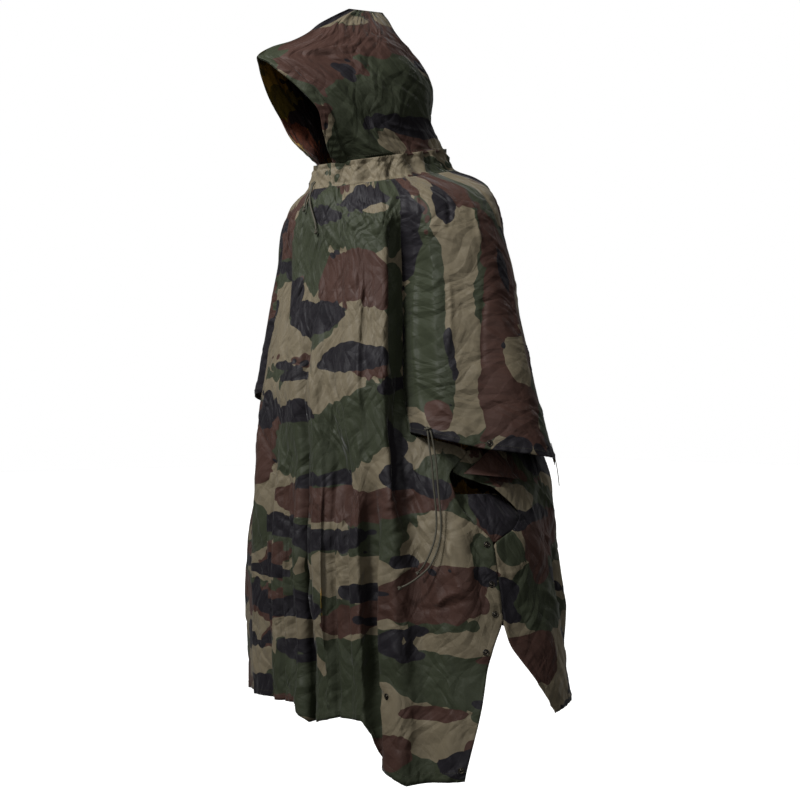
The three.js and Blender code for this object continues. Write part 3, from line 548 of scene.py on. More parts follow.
# The deep valley between the chest and the cloth over the left arm, shared by both stretches
valleySet = {
    "start": -42, "bottom": -29, "end": -23, "depth": 34,
    "top": -50, "full": -190, "fade": -430, "foot": -492,
}
leftArm = {"front": -33, "back": 38, "frontFlank": 11, "backFade": 34, "drapeFlank": 4, "tuck": 1}
rightArm = {"front": -143, "back": -218, "frontFlank": 12, "backFade": 34, "drapeFlank": 6, "tuck": 0.4}
tuckSections = namedRows(("level", "depth"), [
    (0, 0), (-60, 14), (-160, 32), (-300, 46), (-440, 60), (-540, 60), (-620, 44), (-700, 26),
    (-850, 12), (-1000, 0),
])
swellSections = namedRows(("level", "height"), [
    (0, 0), (-70, 8), (-200, 16), (-400, 28), (-580, 34),
])
armFolds = [
    {"share": 0.3, "spread": 0.16, "top": -120, "height": -9},
    {"share": 0.52, "spread": 0.13, "top": -260, "height": 8},
    {"share": 0.72, "spread": 0.14, "top": -180, "height": -8},
]


def foldHeight(angle, level):
    height = np.zeros_like(angle)
    fadeIn = bodySet["foldFadeIn"]
    for fold in folds:
        share = np.clip((fold["top"] - level) / (fold["top"] - fold["end"]), 0, 1)
        middle = mix(fold["topAngle"], fold["endAngle"], share)
        fade = smooth(fold["top"], fold["top"] - fadeIn, level)
        fade = fade * smooth(fold["end"], fold["end"] + fadeIn, level)
        height += fold["height"] * fade * bump((angle - middle) / fold["spread"])
    return height


def underArm(arm, angle):
    way = math.copysign(1, arm["back"] - arm["front"])
    whole = np.where(angle > 0, angle - 360, angle) if arm is rightArm else angle
    fromFront = way * (whole - arm["front"])
    fromBack = way * (whole - arm["back"])
    flank = smooth(-arm["frontFlank"], 0, fromFront)
    return arm["tuck"] * flank * (1 - smooth(-arm["backFade"], bodySet["armBackReach"], fromBack))


def bodyRadius(angle, level):
    across = np.cos(np.radians(angle)) / readSmooth(bodySections, "level", "halfWidth", level)
    along = np.sin(np.radians(angle)) / readSmooth(bodySections, "level", "halfDepth", level)
    return 1 / np.hypot(across, along)


def gatherWave(angle, level):
    fade = np.where(level > 0, 1, np.exp(2 * np.minimum(level, 0) / bodySet["gatherReach"]))
    return bodySet["gatherHeight"] * np.cos(np.radians(angle * bodySet["gathers"])) * fade


def ringPoint(angle, level, radius):
    x = readSmooth(bodySections, "level", "shiftX", level) + radius * np.cos(np.radians(angle))
    y = readSmooth(bodySections, "level", "shiftY", level) + radius * np.sin(np.radians(angle))
    lean = bodySet["neckTilt"] * y * smooth(-bodySet["neckTiltFade"], 0, level)
    return np.stack([x, y, level + lean], -1)


def armValley(angle, level):
    start, bottom, end = (valleySet[name] for name in ("start", "bottom", "end"))
    flanks = smooth(start, bottom, angle) * smooth(end, bottom, angle)
    deepening = smooth(valleySet["top"], valleySet["full"], level)
    return valleySet["depth"] * flanks * deepening * smooth(valleySet["foot"], valleySet["fade"], level)


def bodyPoint(angle, level, inset=0):
    inset = inset + armValley(angle, level)
    arms = underArm(leftArm, angle) + underArm(rightArm, angle)
    tuck = readSmooth(tuckSections, "level", "depth", level) * arms
    radius = bodyRadius(angle, level) + gatherWave(angle, level) + foldHeight(angle, level) - tuck - inset
    return ringPoint(angle, level, radius)


def armPoint(arm, share, level):
    angle = mix(arm["front"], arm["back"], share)
    flank = arm["drapeFlank"] / abs(arm["back"] - arm["front"])
    frontValley = underArm(arm, np.full_like(share, arm["front"])) * (1 - smooth(0, flank, share))
    backValley = underArm(arm, np.full_like(share, arm["back"])) * smooth(1 - flank, 1, share)
    swell = readSmooth(swellSections, "level", "height", level) * np.sin(np.pi * share) ** 2
    crease = 0
    for fold in armFolds:
        fade = smooth(fold["top"], fold["top"] - bodySet["foldFadeIn"], level)
        crease = crease + fold["height"] * fade * bump((share - fold["share"]) / fold["spread"])
    valley = readSmooth(tuckSections, "level", "depth", level) * (frontValley + backValley)
    valley = valley + armValley(angle, level)
    radius = bodyRadius(angle, level) + gatherWave(angle, level) + swell + crease - valley
    return ringPoint(angle, level, radius)


hemReference = -1000
hemStart = -850
hemSections = namedRows(("angle", "level"), [
    (-220, -985), (-190, -1040), (-166, -1045), (-150, -1030), (-135, -1022), (-131, -1024), (-94.5, -1022),
    (-90, -1056), (-82, -1052), (-70, -1038), (-57, -1038), (-53.5, -1064), (-50.5, -1120), (-40, -1150),
    (-22.5, -1138), (-14, -1128), (-9, -1030), (4, -1022), (30, -996), (60, -935), (90, -905), (120, -930),
    (150, -990), (175, -1040),
])
leftCuffLevel = -505
rightCuffLevel = -425
seamAngle = -9.5
rightSeamAngle = -177
edgeColumns = ("level", "angle")
frontLeftEdge = namedRows(edgeColumns, [
    (0, -33), (leftCuffLevel, -33), (-530, -11), (-578, -21), (-640, -19), (-700, seamAngle),
    (-850, seamAngle), (-890, -15), (-945, -18.5), (hemReference, -22.5),
])
backLeftEdge = namedRows(edgeColumns, [
    (0, 38), (leftCuffLevel, 38), (-535, -16), (-586, -19), (-592, -8), (-612, -5), (-636, 0), (-655, 3),
    (-688, -3), (-700, seamAngle), (-850, seamAngle), (-885, -8), (-945, -1), (hemReference, 5),
])
frontRightEdge = namedRows(edgeColumns, [
    (0, -143), (rightCuffLevel, -143), (-460, -160), (-560, -166), (-660, rightSeamAngle),
    (-850, rightSeamAngle), (hemReference, -167),
])
backRightEdge = namedRows(edgeColumns, [
    (0, -218), (rightCuffLevel, -218), (-460, -200), (-560, -188), (-660, rightSeamAngle),
    (-850, rightSeamAngle), (hemReference, -188),
])
upperLevels = [0, -16, -36, -70, -130, -200, -280, -360, rightCuffLevel]
frontLevels = upperLevels + [
    -460, leftCuffLevel, -530, -578, -640, -700, -770, -850, -890, -945, hemReference,
]
backLevels = upperLevels + [
    -460, leftCuffLevel, -535, -586, -592, -636, -655, -700, -770, -850, -885, -945, hemReference,
]
# Degrees between the edges of two stretches: below zero they overlap, so that no light shows between them
seamGapAngle = -0.05


def between(stops, step):
    # Every stop, with others between them about a step apart
    values = [stops[0]]
    for first, last in zip(stops, stops[1:]):
        count = max(1, round(abs(last - first) / step))
        values += [mix(first, last, (index + 1) / count) for index in range(count)]
    return np.array(values)


# Crinkled cloth. Sheet coordinates are millimetres round and down the garment.
roundScale = 5.3  # mm round the body for one degree


noiseCells = 64  # cells before the chance values repeat
facetSet = {"bend": 0.45, "bendCell": 0.9, "skew": 0.366}
creaseSet = {"taper": 0.3, "sharpness": 1.7}
scatterSet = {"bow": 0.06, "widths": (5, 13), "heights": (0.3, 1)}


def cellCorners(x, y, seed):
    # Chance values at the four corners of each point's cell, by row and column, and the point's place in it
    table = np.random.default_rng(seed).uniform(-1, 1, (noiseCells, noiseCells))
    column, row = np.floor(x).astype(int), np.floor(y).astype(int)
    corner = [[table[(row + j) % noiseCells, (column + i) % noiseCells] for i in (0, 1)] for j in (0, 1)]
    return corner, x - column, y - row


def valueNoise(x, y, seed):
    corner, u, v = cellCorners(x, y, seed)
    u, v = smooth(0, 1, u), smooth(0, 1, v)
    return mix(mix(corner[0][0], corner[0][1], u), mix(corner[1][0], corner[1][1], u), v)


def facets(across, down, cell, longer, seed):
    # Flat facets with sharp creases between them, as in crumpled nylon, from -1 to 1
    x, y = across / cell, down / (cell * longer)
    fine = facetSet["bendCell"]
    x = x + facetSet["bend"] * valueNoise(x * fine, y * fine, seed + 1)
    y = y + facetSet["bend"] * valueNoise(x * fine + 31, y * fine + 17, seed + 2)
    skew = (x + y) * facetSet["skew"]
    corner, u, v = cellCorners(x + skew, y + skew, seed)
    right = corner[0][0] + u * (corner[0][1] - corner[0][0]) + v * (corner[1][1] - corner[0][1])
    upper = corner[0][0] + v * (corner[1][0] - corner[0][0]) + u * (corner[1][1] - corner[1][0])
    return np.where(u > v, right, upper)


def creaseHeight(across, down, creases):
    # Long creases, each a sharp line with soft flanks that dies out at its ends
    height = np.zeros_like(across)
    for crease in creases:
        start = np.array([crease["fromAcross"], crease["fromDown"]], float)
        way = np.array([crease["toAcross"], crease["toDown"]], float) - start
        length = np.hypot(*way)
        share = ((across - start[0]) * way[0] + (down - start[1]) * way[1]) / length**2
        aside = ((across - start[0]) * way[1] - (down - start[1]) * way[0]) / length
        inside = np.clip(share, 0, 1)
        aside = aside - crease["bow"] * 4 * inside * (1 - inside)
        taper = np.clip(share / creaseSet["taper"], 0, 1) * np.clip((1 - share) / creaseSet["taper"], 0, 1)
        near = np.clip(1 - np.abs(aside) / crease["width"], 0, 1)
        height += crease["height"] * taper * near ** creaseSet["sharpness"]
    return height


def scatteredCreases(seed, count, angles, levels, lengths, lean, leanSpread, height, scale=roundScale):
    # Small creases of uneven length, depth and spacing. The lean is in degrees from straight down.
    chance = np.random.default_rng(seed)
    creases = []
    for _ in range(count):
        across = chance.uniform(angles[0] * scale, angles[1] * scale)
        down = chance.uniform(*levels)
        length = chance.uniform(*lengths)
        turn = math.radians(chance.normal(lean, leanSpread))
        creases.append({
            "fromAcross": across, "fromDown": down,
            "toAcross": across + length * math.sin(turn), "toDown": down - length * math.cos(turn),
            "bow": chance.normal(0, scatterSet["bow"]) * length,
            "width": chance.uniform(*scatterSet["widths"]),
            "height": chance.choice([-1, 1]) * chance.uniform(*scatterSet["heights"]) * height,
        })
    return creases


creaseColumns = ("fromAcross", "fromDown", "toAcross", "toDown", "bow", "width", "height")


def placed(rows, scale=roundScale, deeper=1.0):
    # Creases by angle and level: from, to, bow to a side, width of a flank and height
    creases = namedRows(creaseColumns, rows)
    for crease in creases:
        crease["fromAcross"] *= scale
        crease["toAcross"] *= scale
        crease["height"] *= deeper
    return creases


snapSpots = [np.mean([vertex.co for vertex in part.data.vertices], axis=0) / mm
             for name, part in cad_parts.items() if name.startswith("snap_")]
cordSpots = np.vstack([smoothRoute(cord["route"], 10 * mm) / mm for cord in cordRoutes.values()])
crumpleOctaves = [
    {"cell": 110, "longer": 2.1, "height": 6.0},
    {"cell": 52, "longer": 1.8, "height": 2.4},
    {"cell": 24, "longer": 1.5, "height": 1.1},
]
# Millimetres from a snap or a cord where the cloth starts to crumple again, and where it does so in full
keepFlat = {"snap": (7, 20), "cord": (12, 28)}
farAway = 1e6
puckerSet = {"start": 5, "bow": 2, "width": 6}
unevenSet = {"across": 120, "down": 150, "middle": 0.7, "spread": 0.6}


def nearest(points, spots):
    distance = np.full(points.shape[:2], farAway)
    for spot in spots:
        distance = np.minimum(distance, np.linalg.norm(points - spot, axis=-1))
    return distance


def puckers(middles, count, length, height):
    # Short creases that run out from each snap
    creases = []
    for angle, level in middles:
        for index in range(count):
            turn = 2 * math.pi * (index + 0.35 * math.sin(5 * index + level)) / count
            reach = length * (0.75 + 0.35 * math.sin(3 * index + angle))
            across = angle * roundScale
            start = puckerSet["start"]
            creases.append({
                "fromAcross": across + start * math.cos(turn), "fromDown": level + start * math.sin(turn),
                "toAcross": across + reach * math.cos(turn), "toDown": level + reach * math.sin(turn),
                "bow": puckerSet["bow"], "width": puckerSet["width"],
                "height": height * (1 if index % 2 else -1),
            })
    return creases


def crumple(points, across, down, creases, seed, strength, still, closedRound=False):
    # Moves a grid along its normals by its creases and facets; still, from 0 to 1, holds the seams
    patches = valueNoise(across / unevenSet["across"], down / unevenSet["down"], seed + 7)
    uneven = unevenSet["middle"] + unevenSet["spread"] * patches
    height = creaseHeight(across, down, creases)
    for index, octave in enumerate(crumpleOctaves):
        crumpled = facets(across, down, octave["cell"], octave["longer"], seed + 3 * index)
        height += strength * uneven * octave["height"] * crumpled
    height *= still * smooth(*keepFlat["snap"], nearest(points, snapSpots))
    outwards = smooth(*keepFlat["cord"], nearest(points, cordSpots))
    height = np.where(height > 0, height * outwards, height)
    return points + gridNormals(points, closedRound) * height[..., None]


# Where an ink is favoured, by angle round the body, level, and half sizes in degrees and millimetres. Most
# spots place the print; a few dark strips in the valley beside the left arm are painted shade.
inkColumns = ("ink", "angle", "level", "halfAngle", "halfHeight")
inkOrder = [layer["ink"] for layer in printLayers]
inkReach = 1.55
inkStrength = 0.45


def printAndShadeFavour(angle, level, spots):
    favour = np.zeros(angle.shape + (3,))
    for spot in spots:
        aside = (angle - spot["angle"]) / (spot["halfAngle"] * inkReach)
        above = (level - spot["level"]) / (spot["halfHeight"] * inkReach)
        pull = inkStrength * bump(np.hypot(aside, above))
        chosen = inkOrder.index(spot["ink"]) if spot["ink"] in inkOrder else -1
        for index in range(3):
            if index == chosen:
                favour[..., index] += pull
            elif index > chosen:
                favour[..., index] -= pull
    return favour


clothThickness = 0.5


def finishCloth(piece, thickness):
    shell = piece.modifiers.new("thickness", "SOLIDIFY")
    shell.thickness = thickness * mm
    shell.offset = -1
    shell.material_offset = 1
    shell.use_even_offset = False


def addCloth(name, node, points, flat, closedRound=False, favour=None,
             thickness=clothThickness):
    mesh = gridMesh(name, points, flat, "flatCut", closedRound, favour)
    piece = addObject(name, mesh, [outsideCloth, insideCloth])
    finishCloth(piece, thickness)
    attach(piece, "root")
    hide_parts(node)
    area = sum(face.area for face in mesh.polygons)
    print("cloth made:", name, len(mesh.polygons), "faces,", round(area, 4), "square metres")


# Front and back. Their columns stand at fixed angles in the middle, so that folds run true.
frontSet = {
    "middle": (-135, -39), "step": 4.5, "edgeSpans": (38, 36), "seed": 41, "strength": 1.25,
    "sheet": {"flat": (1.02, 1.14), "held": "hung", "restsOn": ["neck_band"], "area": 0.84},
}
backSet = {
    "middle": (46, 134), "step": 4.5, "edgeSpans": (50, 40), "seed": 77, "strength": 1.25,
    "tuckInside": 14, "tuckAngles": (8, 20), "tuckLevels": (-604, -592),
    "sheet": {"flat": (1.1, 1.06), "held": "hung", "restsOn": ["neck_band"], "area": 0.78},
}
# From the neck the creases fan out over the chest, and pleats run down.
# Short creases cross them where the cloth buckles.
frontCreases = placed([
    (-112, -30, -124, -150, 10, 12, 3.2), (-104, -28, -106, -170, -8, 10, -2.6),
    (-97, -25, -88, -150, 6, 11, 3.0), (-88, -24, -66, -160, 12, 12, 2.8),
    (-84, -30, -74, -120, 6, 9, -2.6), (-76, -24, -50, -130, 10, 12, 3.0),
    (-118, -24, -136, -120, 8, 12, -3.0), (-68, -20, -44, -90, 8, 10, 2.6),
    (-61, -20, -40, -60, 4, 9, -2.2), (-114, -180, -119, -330, 5, 9, -3.4),
    (-103, -190, -100, -340, -4, 9, 3.0), (-92, -150, -95, -290, 4, 8, -2.4),
    (-84, -190, -79, -300, 3, 8, 2.6), (-70, -150, -64, -290, 5, 9, -2.6),
    (-58, -190, -57, -360, -6, 9, 2.8), (-128, -220, -129, -400, 4, 9, 2.8),
    (-50, -150, -47, -330, 4, 8, -2.6), (-125, -400, -113, -560, 8, 10, 3.6),
    (-133, -470, -114, -590, -6, 9, -3.6), (-118, -470, -104, -560, 6, 9, 3.0),
    (-111, -590, -99, -520, 5, 9, 2.8), (-97, -420, -90, -520, -5, 8, -2.6),
    (-74, -430, -62, -500, 6, 8, 2.8), (-66, -560, -56, -640, -6, 9, 3.0),
    (-126, -640, -118, -760, 5, 9, 2.6), (-110, -660, -96, -700, -5, 8, -2.4),
    (-99, -760, -92, -900, 6, 9, 2.8), (-79, -640, -70, -760, 6, 9, -2.8),
    (-72, -780, -62, -840, -4, 8, 2.4), (-66, -860, -60, -990, 4, 9, -2.8),
    (-49, -640, -30, -600, 8, 10, 3.4), (-46, -700, -24, -660, -8, 9, -3.0),
    (-40, -600, -26, -700, 9, 9, 3.2), (-33, -640, -20, -760, -6, 9, 3.0),
    (-44, -760, -26, -730, 6, 8, 2.8), (-36, -830, -18, -800, 6, 9, -2.8),
    (-46, -880, -28, -960, 8, 9, 3.0), (-30, -860, -22, -980, -5, 8, -2.6),
    (-42, -1010, -26, -1060, 6, 9, 2.6), (-124, -820, -116, -960, 5, 9, -2.6),
    (-104, -900, -101, -1000, 4, 8, 2.4), (-86, -880, -83, -1000, 3, 8, -2.6),
    (-150, -520, -140, -640, 5, 9, 2.6), (-160, -700, -150, -860, 5, 9, -2.4),
], deeper=1.5)
backCreases = placed([
    (96, -24, 100, -180, 6, 12, 3.0), (84, -24, 70, -150, -8, 11, -2.8), (104, -28, 122, -140, 8, 12, 2.8),
    (116, -26, 138, -110, 6, 10, -2.6), (72, -24, 52, -110, 6, 11, 2.8), (60, -150, 62, -320, 4, 9, -2.8),
    (78, -240, 80, -420, -5, 9, 2.8), (94, -300, 90, -470, 5, 9, -2.8), (110, -200, 108, -380, 5, 9, 2.8),
    (126, -200, 128, -340, -4, 9, -2.6), (56, -440, 68, -560, 6, 9, 3.0), (74, -520, 60, -640, 6, 9, 2.6),
    (88, -560, 102, -660, -6, 9, -2.8), (112, -480, 124, -600, 5, 9, 2.8), (134, -520, 124, -640, 5, 9, -2.6),
    (18, -600, 34, -660, 6, 9, 3.0), (12, -690, 30, -740, -6, 9, 3.2), (22, -760, 40, -700, 5, 9, -2.8),
    (4, -780, 22, -840, 6, 9, 2.8), (40, -640, 52, -760, 5, 9, -2.6), (54, -760, 62, -880, 5, 9, 2.6),
    (10, -860, 20, -960, -4, 8, 2.6), (76, -700, 84, -860, 5, 9, 2.4), (100, -720, 96, -860, 5, 9, -2.6),
    (118, -700, 128, -820, 5, 9, 2.6), (144, -640, 140, -800, 5, 9, 2.4), (156, -700, 164, -840, 5, 9, -2.4),
], deeper=1.4)

edgeRounding = 11  # mm over which a corner of a free edge is rounded
roundingSteps = 9


def edgeAngle(edge, rows):
    straight = readStraight(edge, "level", "angle", rows)
    rounded = np.mean([readStraight(edge, "level", "angle", rows + shift)
                       for shift in np.linspace(-edgeRounding, edgeRounding, roundingSteps)], 0)
    cuff = edge[1]["level"]
    return np.where(rows < cuff - edgeRounding, rounded, straight)


def stretchGrid(levels, settings, startEdge, endEdge, insetAt):
    # Angle, level and place of every point of the front or back stretch
    rows = between(levels, settings["step"])
    low, high = settings["middle"]
    start = edgeAngle(startEdge[0], rows) + startEdge[1] + seamGapAngle
    end = edgeAngle(endEdge[0], rows) + endEdge[1] - seamGapAngle
    spans = settings["edgeSpans"]
    middle = round((high - low) * roundScale / settings["step"])
    angle = np.concatenate([
        mix(start[:, None], low, np.arange(spans[0])[None] / spans[0]),
        np.repeat(mix(low, high, np.arange(middle + 1) / middle)[None], len(rows), 0),
        mix(high, end[:, None], (np.arange(spans[1])[None] + 1) / spans[1]),
    ], 1)
    level = np.repeat(rows[:, None], angle.shape[1], 1)
    hem = readStraight(hemSections, "angle", "level", np.where(angle > 180, angle - 360, angle))
    stretch = np.clip((hemStart - level) / (hemStart - hemReference), 0, 1) * (hem - hemReference)
    return angle, level + stretch, bodyPoint(angle, level + stretch, insetAt(angle, level)), level


sewnSeam = {"neckFade": 14, "width": 16, "aboveCuff": 6}
snappedSeam = {"top": -660, "end": -860, "fade": 30, "held": 0.2, "full": 4, "width": 14}


def heldSeams(points, level, cuffs):
    # Zero at the neck and along the edges that go on into the sides, little at the snapped edges,
    # and one elsewhere
    steps = np.linalg.norm(np.diff(points, axis=1), axis=2)
    travelled = np.concatenate([np.zeros((len(points), 1)), np.cumsum(steps, 1)], 1)
    left, right = travelled, travelled[:, -1:] - travelled
    hold = smooth(0, sewnSeam["neckFade"], -level)
    snapped = smooth(snappedSeam["end"] - snappedSeam["fade"], snappedSeam["end"], level)
    snapped = snapped * (level < snappedSeam["top"])
    for distance, cuff in ((left, cuffs[0]), (right, cuffs[1])):
        near = 1 - smooth(0, sewnSeam["width"], distance)
        hold = hold * (1 - near * (level > cuff - sewnSeam["aboveCuff"]))
        close = 1 - smooth(snappedSeam["full"], snappedSeam["width"], distance)
        hold = hold * (1 - (1 - snappedSeam["held"]) * snapped * close)
    return hold


hemSet = {
    "rows": 2.4, "fold": 0.6, "puckeredRows": 2.6, "rise": 1.0, "pucker": 0.7, "puckerEvery": 13,
    "unevenAcross": 40, "unevenDown": 90, "unevenness": 3, "seed": 19,
}


def foldedEdge(points, along, rowsIn):
    # A doubled edge stands a little proud of the cloth, and its stitches pucker it
    raised = 1 - smooth(hemSet["rows"] - hemSet["fold"], hemSet["rows"] + hemSet["fold"], rowsIn)
    uneven = valueNoise(along / hemSet["unevenAcross"], along / hemSet["unevenDown"], hemSet["seed"])
    wave = np.cos(2 * math.pi * along / hemSet["puckerEvery"] + hemSet["unevenness"] * uneven)
    near = 1 - smooth(hemSet["rows"], hemSet["puckeredRows"] * hemSet["rows"], rowsIn)
    height = hemSet["rise"] * raised + hemSet["pucker"] * wave * near
    return points + gridNormals(points) * height[..., None]


def makeStretch(name, node, levels, settings, edges, creases, insetAt, cuffs, spots):
    angle, sheetLevel, points, level = stretchGrid(levels, settings, edges[0], edges[1], insetAt)
    across = angle * roundScale
    still = heldSeams(points, level, cuffs)
    points = crumple(points, across, sheetLevel, creases, settings["seed"], settings["strength"], still)
    rowsIn = np.repeat(np.arange(len(points))[::-1, None], points.shape[1], 1)
    points = foldedEdge(points, across, rowsIn)
    flat = np.stack([across, sheetLevel], -1) * mm
    addCloth(name, node, points, flat, favour=printAndShadeFavour(angle, sheetLevel, spots))
    return points


def noInset(angle, level):
    return 0


def backInset(angle, level):
    # Below the left cuff the back's edge lies inside the front's
    beside = 1 - smooth(*backSet["tuckAngles"], angle)
    return backSet["tuckInside"] * beside * smooth(*backSet["tuckLevels"], level)


# Seed, count, angles, levels, lengths, lean and its spread, and height
frontSmall = scatteredCreases(5, 260, (-170, -10), (-1120, -60), (25, 95), 8, 38, 1.5)
backSmall = scatteredCreases(6, 240, (0, 180), (-1020, -60), (25, 95), -6, 38, 1.5)
frontNeck = scatteredCreases(15, 60, (-140, -36), (-80, -10), (28, 80), 6, 26, 2.6)
backNeck = scatteredCreases(16, 50, (40, 140), (-80, -10), (28, 80), -6, 26, 2.4)
# The edges and valleys of the large pleats, and the ridge that ends in a crumple by the cuff's cords
pleatEdges = placed([
    (-89, -300, -83, -1080, 4, 12, 14), (-136, -440, -129, -1060, 4, 12, 12),
    (-45.5, -620, -47.5, -1140, 4, 12, 14), (-71, -360, -62, -470, 4, 13, -12),
    (-62, -420, -63, -1040, 4, 13, -13), (-122, -150, -109, -330, 6, 12, -10),
    (-38, -90, -38, -420, 3, 16, -15), (-36, -380, -37, -700, 3, 15, -12),
    (-103, -560, -97, -1060, 6, 12, -13), (-54, -120, -52, -560, 6, 12, 7),
    (-77, -480, -72, -1040, 6, 11, 11), (-116, -420, -114, -1000, 6, 12, 11),
    (-39, -420, -38, -680, 4, 34, -24), (-52, -560, -52, -1130, 2, 24, -18),
    (-84, -560, -82, -1070, 3, 26, -16), (-98, -600, -96, -1040, 2, 20, -10),
    (-24, -628, -21, -810, 4, 9, 12), (-21, -790, -29, -826, 5, 8, 9), (-14, -600, -24, -650, 4, 9, -5),
])
backPleats = placed([
    (56, -120, 60, -1000, 6, 12, 6), (84, -160, 86, -960, 6, 12, 5), (116, -140, 118, -980, 6, 12, 6),
    (70, -260, 72, -960, 4, 13, -6), (99, -220, 101, -980, 4, 13, -6), (134, -300, 136, -1020, 4, 13, -6),
    (26, -680, 24, -1000, 4, 12, -6), (8, -560, 10, -680, 4, 10, 6), (-10, -560, -2, -620, 3, 9, 6),
])
# Pleats with a gentle left flank and a steep right one, which the hem cuts through
steppedPleats = placed([
    (-93, -420, -90, -1500, 4, 36, 13), (-88, -420, -86.5, -1500, 4, 11, -17),
    (-75, -500, -73, -1500, 4, 28, 12), (-70, -500, -69, -1500, 4, 11, -15),
    (-110, -480, -107, -1500, 4, 24, 9), (-105, -480, -103.5, -1500, 4, 10, -11),
    (-129, -460, -127, -1500, 4, 22, 10), (-133.5, -460, -132, -1500, 4, 11, -14),
    (-50.5, -560, -50.5, -1600, 2, 11, -17),
])
frontPuckers = puckers([(-11, -690), (-11, -764), (-11, -820), (-16, -893), (-76, -1020)], 7, 34, 2.6)
backPuckers = puckers([(-6, -770), (-3, -835), (2, -960)], 7, 30, 2.4)
frontSpots = namedRows(inkColumns, [
    ("charcoal", -57, -34, 20, 15), ("charcoal", -85, -62, 9, 24), ("sand", -46, -60, 7, 12),
    ("green", -60, -112, 25, 36), ("green", -100, -95, 15, 60), ("green", -88, -190, 9, 48),
    ("brown", -60, -215, 25, 50), ("sand", -37, -168, 8, 32), ("charcoal", -84, -278, 16, 32),
    ("sand", -50, -310, 20, 34), ("charcoal", -61, -356, 19, 26), ("sand", -105, -330, 13, 36),
    ("charcoal", -110, -372, 9, 10), ("charcoal", -99, -396, 15, 10), ("sand", -74, -420, 24, 34),
    ("charcoal", -38, -416, 7, 19), ("charcoal", -93, -464, 11, 26), ("green", -86, -520, 26, 48),
    ("green", -55, -520, 15, 60), ("sand", -52, -592, 8, 34), ("brown", -78, -640, 33, 38),
    ("charcoal", -101, -692, 13, 20), ("charcoal", -82, -704, 9, 24), ("sand", -70, -762, 24, 42),
    ("charcoal", -62, -792, 14, 26), ("charcoal", -112, -772, 12, 14), ("charcoal", -99, -838, 13, 11),
    ("sand", -98, -878, 18, 20), ("charcoal", -92, -908, 12, 11), ("green", -100, -975, 20, 38),
    ("charcoal", -56, -852, 7, 13), ("green", -58, -935, 15, 44), ("brown", -25, -814, 15, 42),
    ("sand", -25, -890, 17, 22), ("green", -28, -962, 16, 38), ("sand", -30, -704, 13, 40),
    ("charcoal", -38, -738, 5, 14), ("brown", -38, -626, 11, 22), ("charcoal", -44, -566, 8, 26),
    ("green", -22, -566, 9, 40), ("green", -66, -1000, 14, 46), ("brown", -45, -1092, 7, 36),
    ("brown", -32, -1016, 11, 16), ("sand", -32, -1070, 7, 28), ("charcoal", -25, -1104, 6, 24),
    ("green", -13, -724, 5, 24), ("charcoal", -13, -764, 4, 28), ("green", -86, -1000, 10, 44),
    ("brown", -126, -560, 9, 46), ("green", -130, -700, 9, 50), ("charcoal", -122, -470, 6, 30),
    # The green and charcoal strips at -38 to -33 degrees, down the valley beside the left arm, are painted
    # shade, not print.
    ("sand", -126, -880, 8, 30), ("green", -37, -250, 4, 170), ("charcoal", -38, -520, 4, 50),
    ("green", -33, -470, 5, 60), ("green", -14, -640, 7, 24), ("green", -56, -1010, 10, 40),
    ("charcoal", -60, -1046, 8, 14),
])
backSpots = namedRows(inkColumns, [
    ("sand", 2, -624, 8, 26), ("brown", 10, -706, 8, 40), ("green", 5, -810, 10, 54),
    ("charcoal", -6, -782, 5, 26), ("sand", 11, -930, 5, 46), ("brown", 2, -912, 6, 36),
    ("green", -12, -580, 8, 24), ("green", -4, -716, 4, 30), ("charcoal", 0, -664, 4, 20),
    ("brown", 6, -760, 6, 40),
])
frontPoints = makeStretch(
    "frontCloth", "front", frontLevels, frontSet, ((frontRightEdge, 0), (frontLeftEdge, 0)),
    frontCreases + frontNeck + pleatEdges + steppedPleats + frontPuckers + frontSmall,
    noInset, (rightCuffLevel, leftCuffLevel), frontSpots)
backPoints = makeStretch(
    "backCloth", "back", backLevels, backSet, ((backLeftEdge, 0), (backRightEdge, 360)),
    backCreases + backNeck + backPleats + backPuckers + backSmall,
    backInset, (leftCuffLevel, rightCuffLevel), backSpots)

# The cloth over the arms. The sheet's width runs down the arm here, so the print's blotches stand upright.
sideFlatShift = 700  # mm, so that the print differs from the front's
leftSet = {
    "step": 3.0, "seed": 103, "strength": 1.1,
    "cuff": namedRows(("share", "level"), [
        (0, leftCuffLevel + 4), (0.28, -530), (0.58, -549), (0.8, -566), (1, leftCuffLevel + 4),
    ]),
    "sheet": {"flat": (0.48, 0.56), "held": "draped", "restsOn": ["neck_band"], "area": 0.255},
}
rightSet = {
    "step": 4.5, "seed": 131, "strength": 1.1,
    "cuff": namedRows(("share", "level"), [
        (0, rightCuffLevel + 4), (0.1, -430), (0.5, -450), (0.86, -446), (1, rightCuffLevel + 4),
    ]),
    "sheet": {"flat": (0.45, 0.47), "held": "draped", "restsOn": ["neck_band"], "area": 0.197},
}
leftCreases = placed([
    (-24, -26, -26, -150, 6, 10, 2.6), (-12, -24, -16, -130, -6, 11, -2.6), (0, -24, -3, -170, 6, 10, 2.4),
    (12, -26, 14, -150, 6, 10, -2.4), (22, -24, 28, -130, 5, 10, 2.4), (-27, -150, -29, -420, 8, 10, 2.8),
    (-17, -190, -21, -380, -8, 10, 2.6), (-4, -220, -9, -400, 6, 9, -2.4), (10, -200, 6, -420, 8, 10, 2.4),
    (24, -180, 22, -360, -6, 9, -2.2), (13, -330, 24, -400, 6, 7, 2.6), (12, -360, 26, -425, -5, 7, -2.4),
    (15, -310, 27, -355, 5, 7, 2.2), (-26, -440, -8, -520, 6, 9, 2.4), (2, -440, 18, -520, 6, 9, -2.2),
    (20, -440, 33, -500, 5, 8, 2.2), (-8, -300, 6, -350, 5, 8, 2.0),
], deeper=1.4)


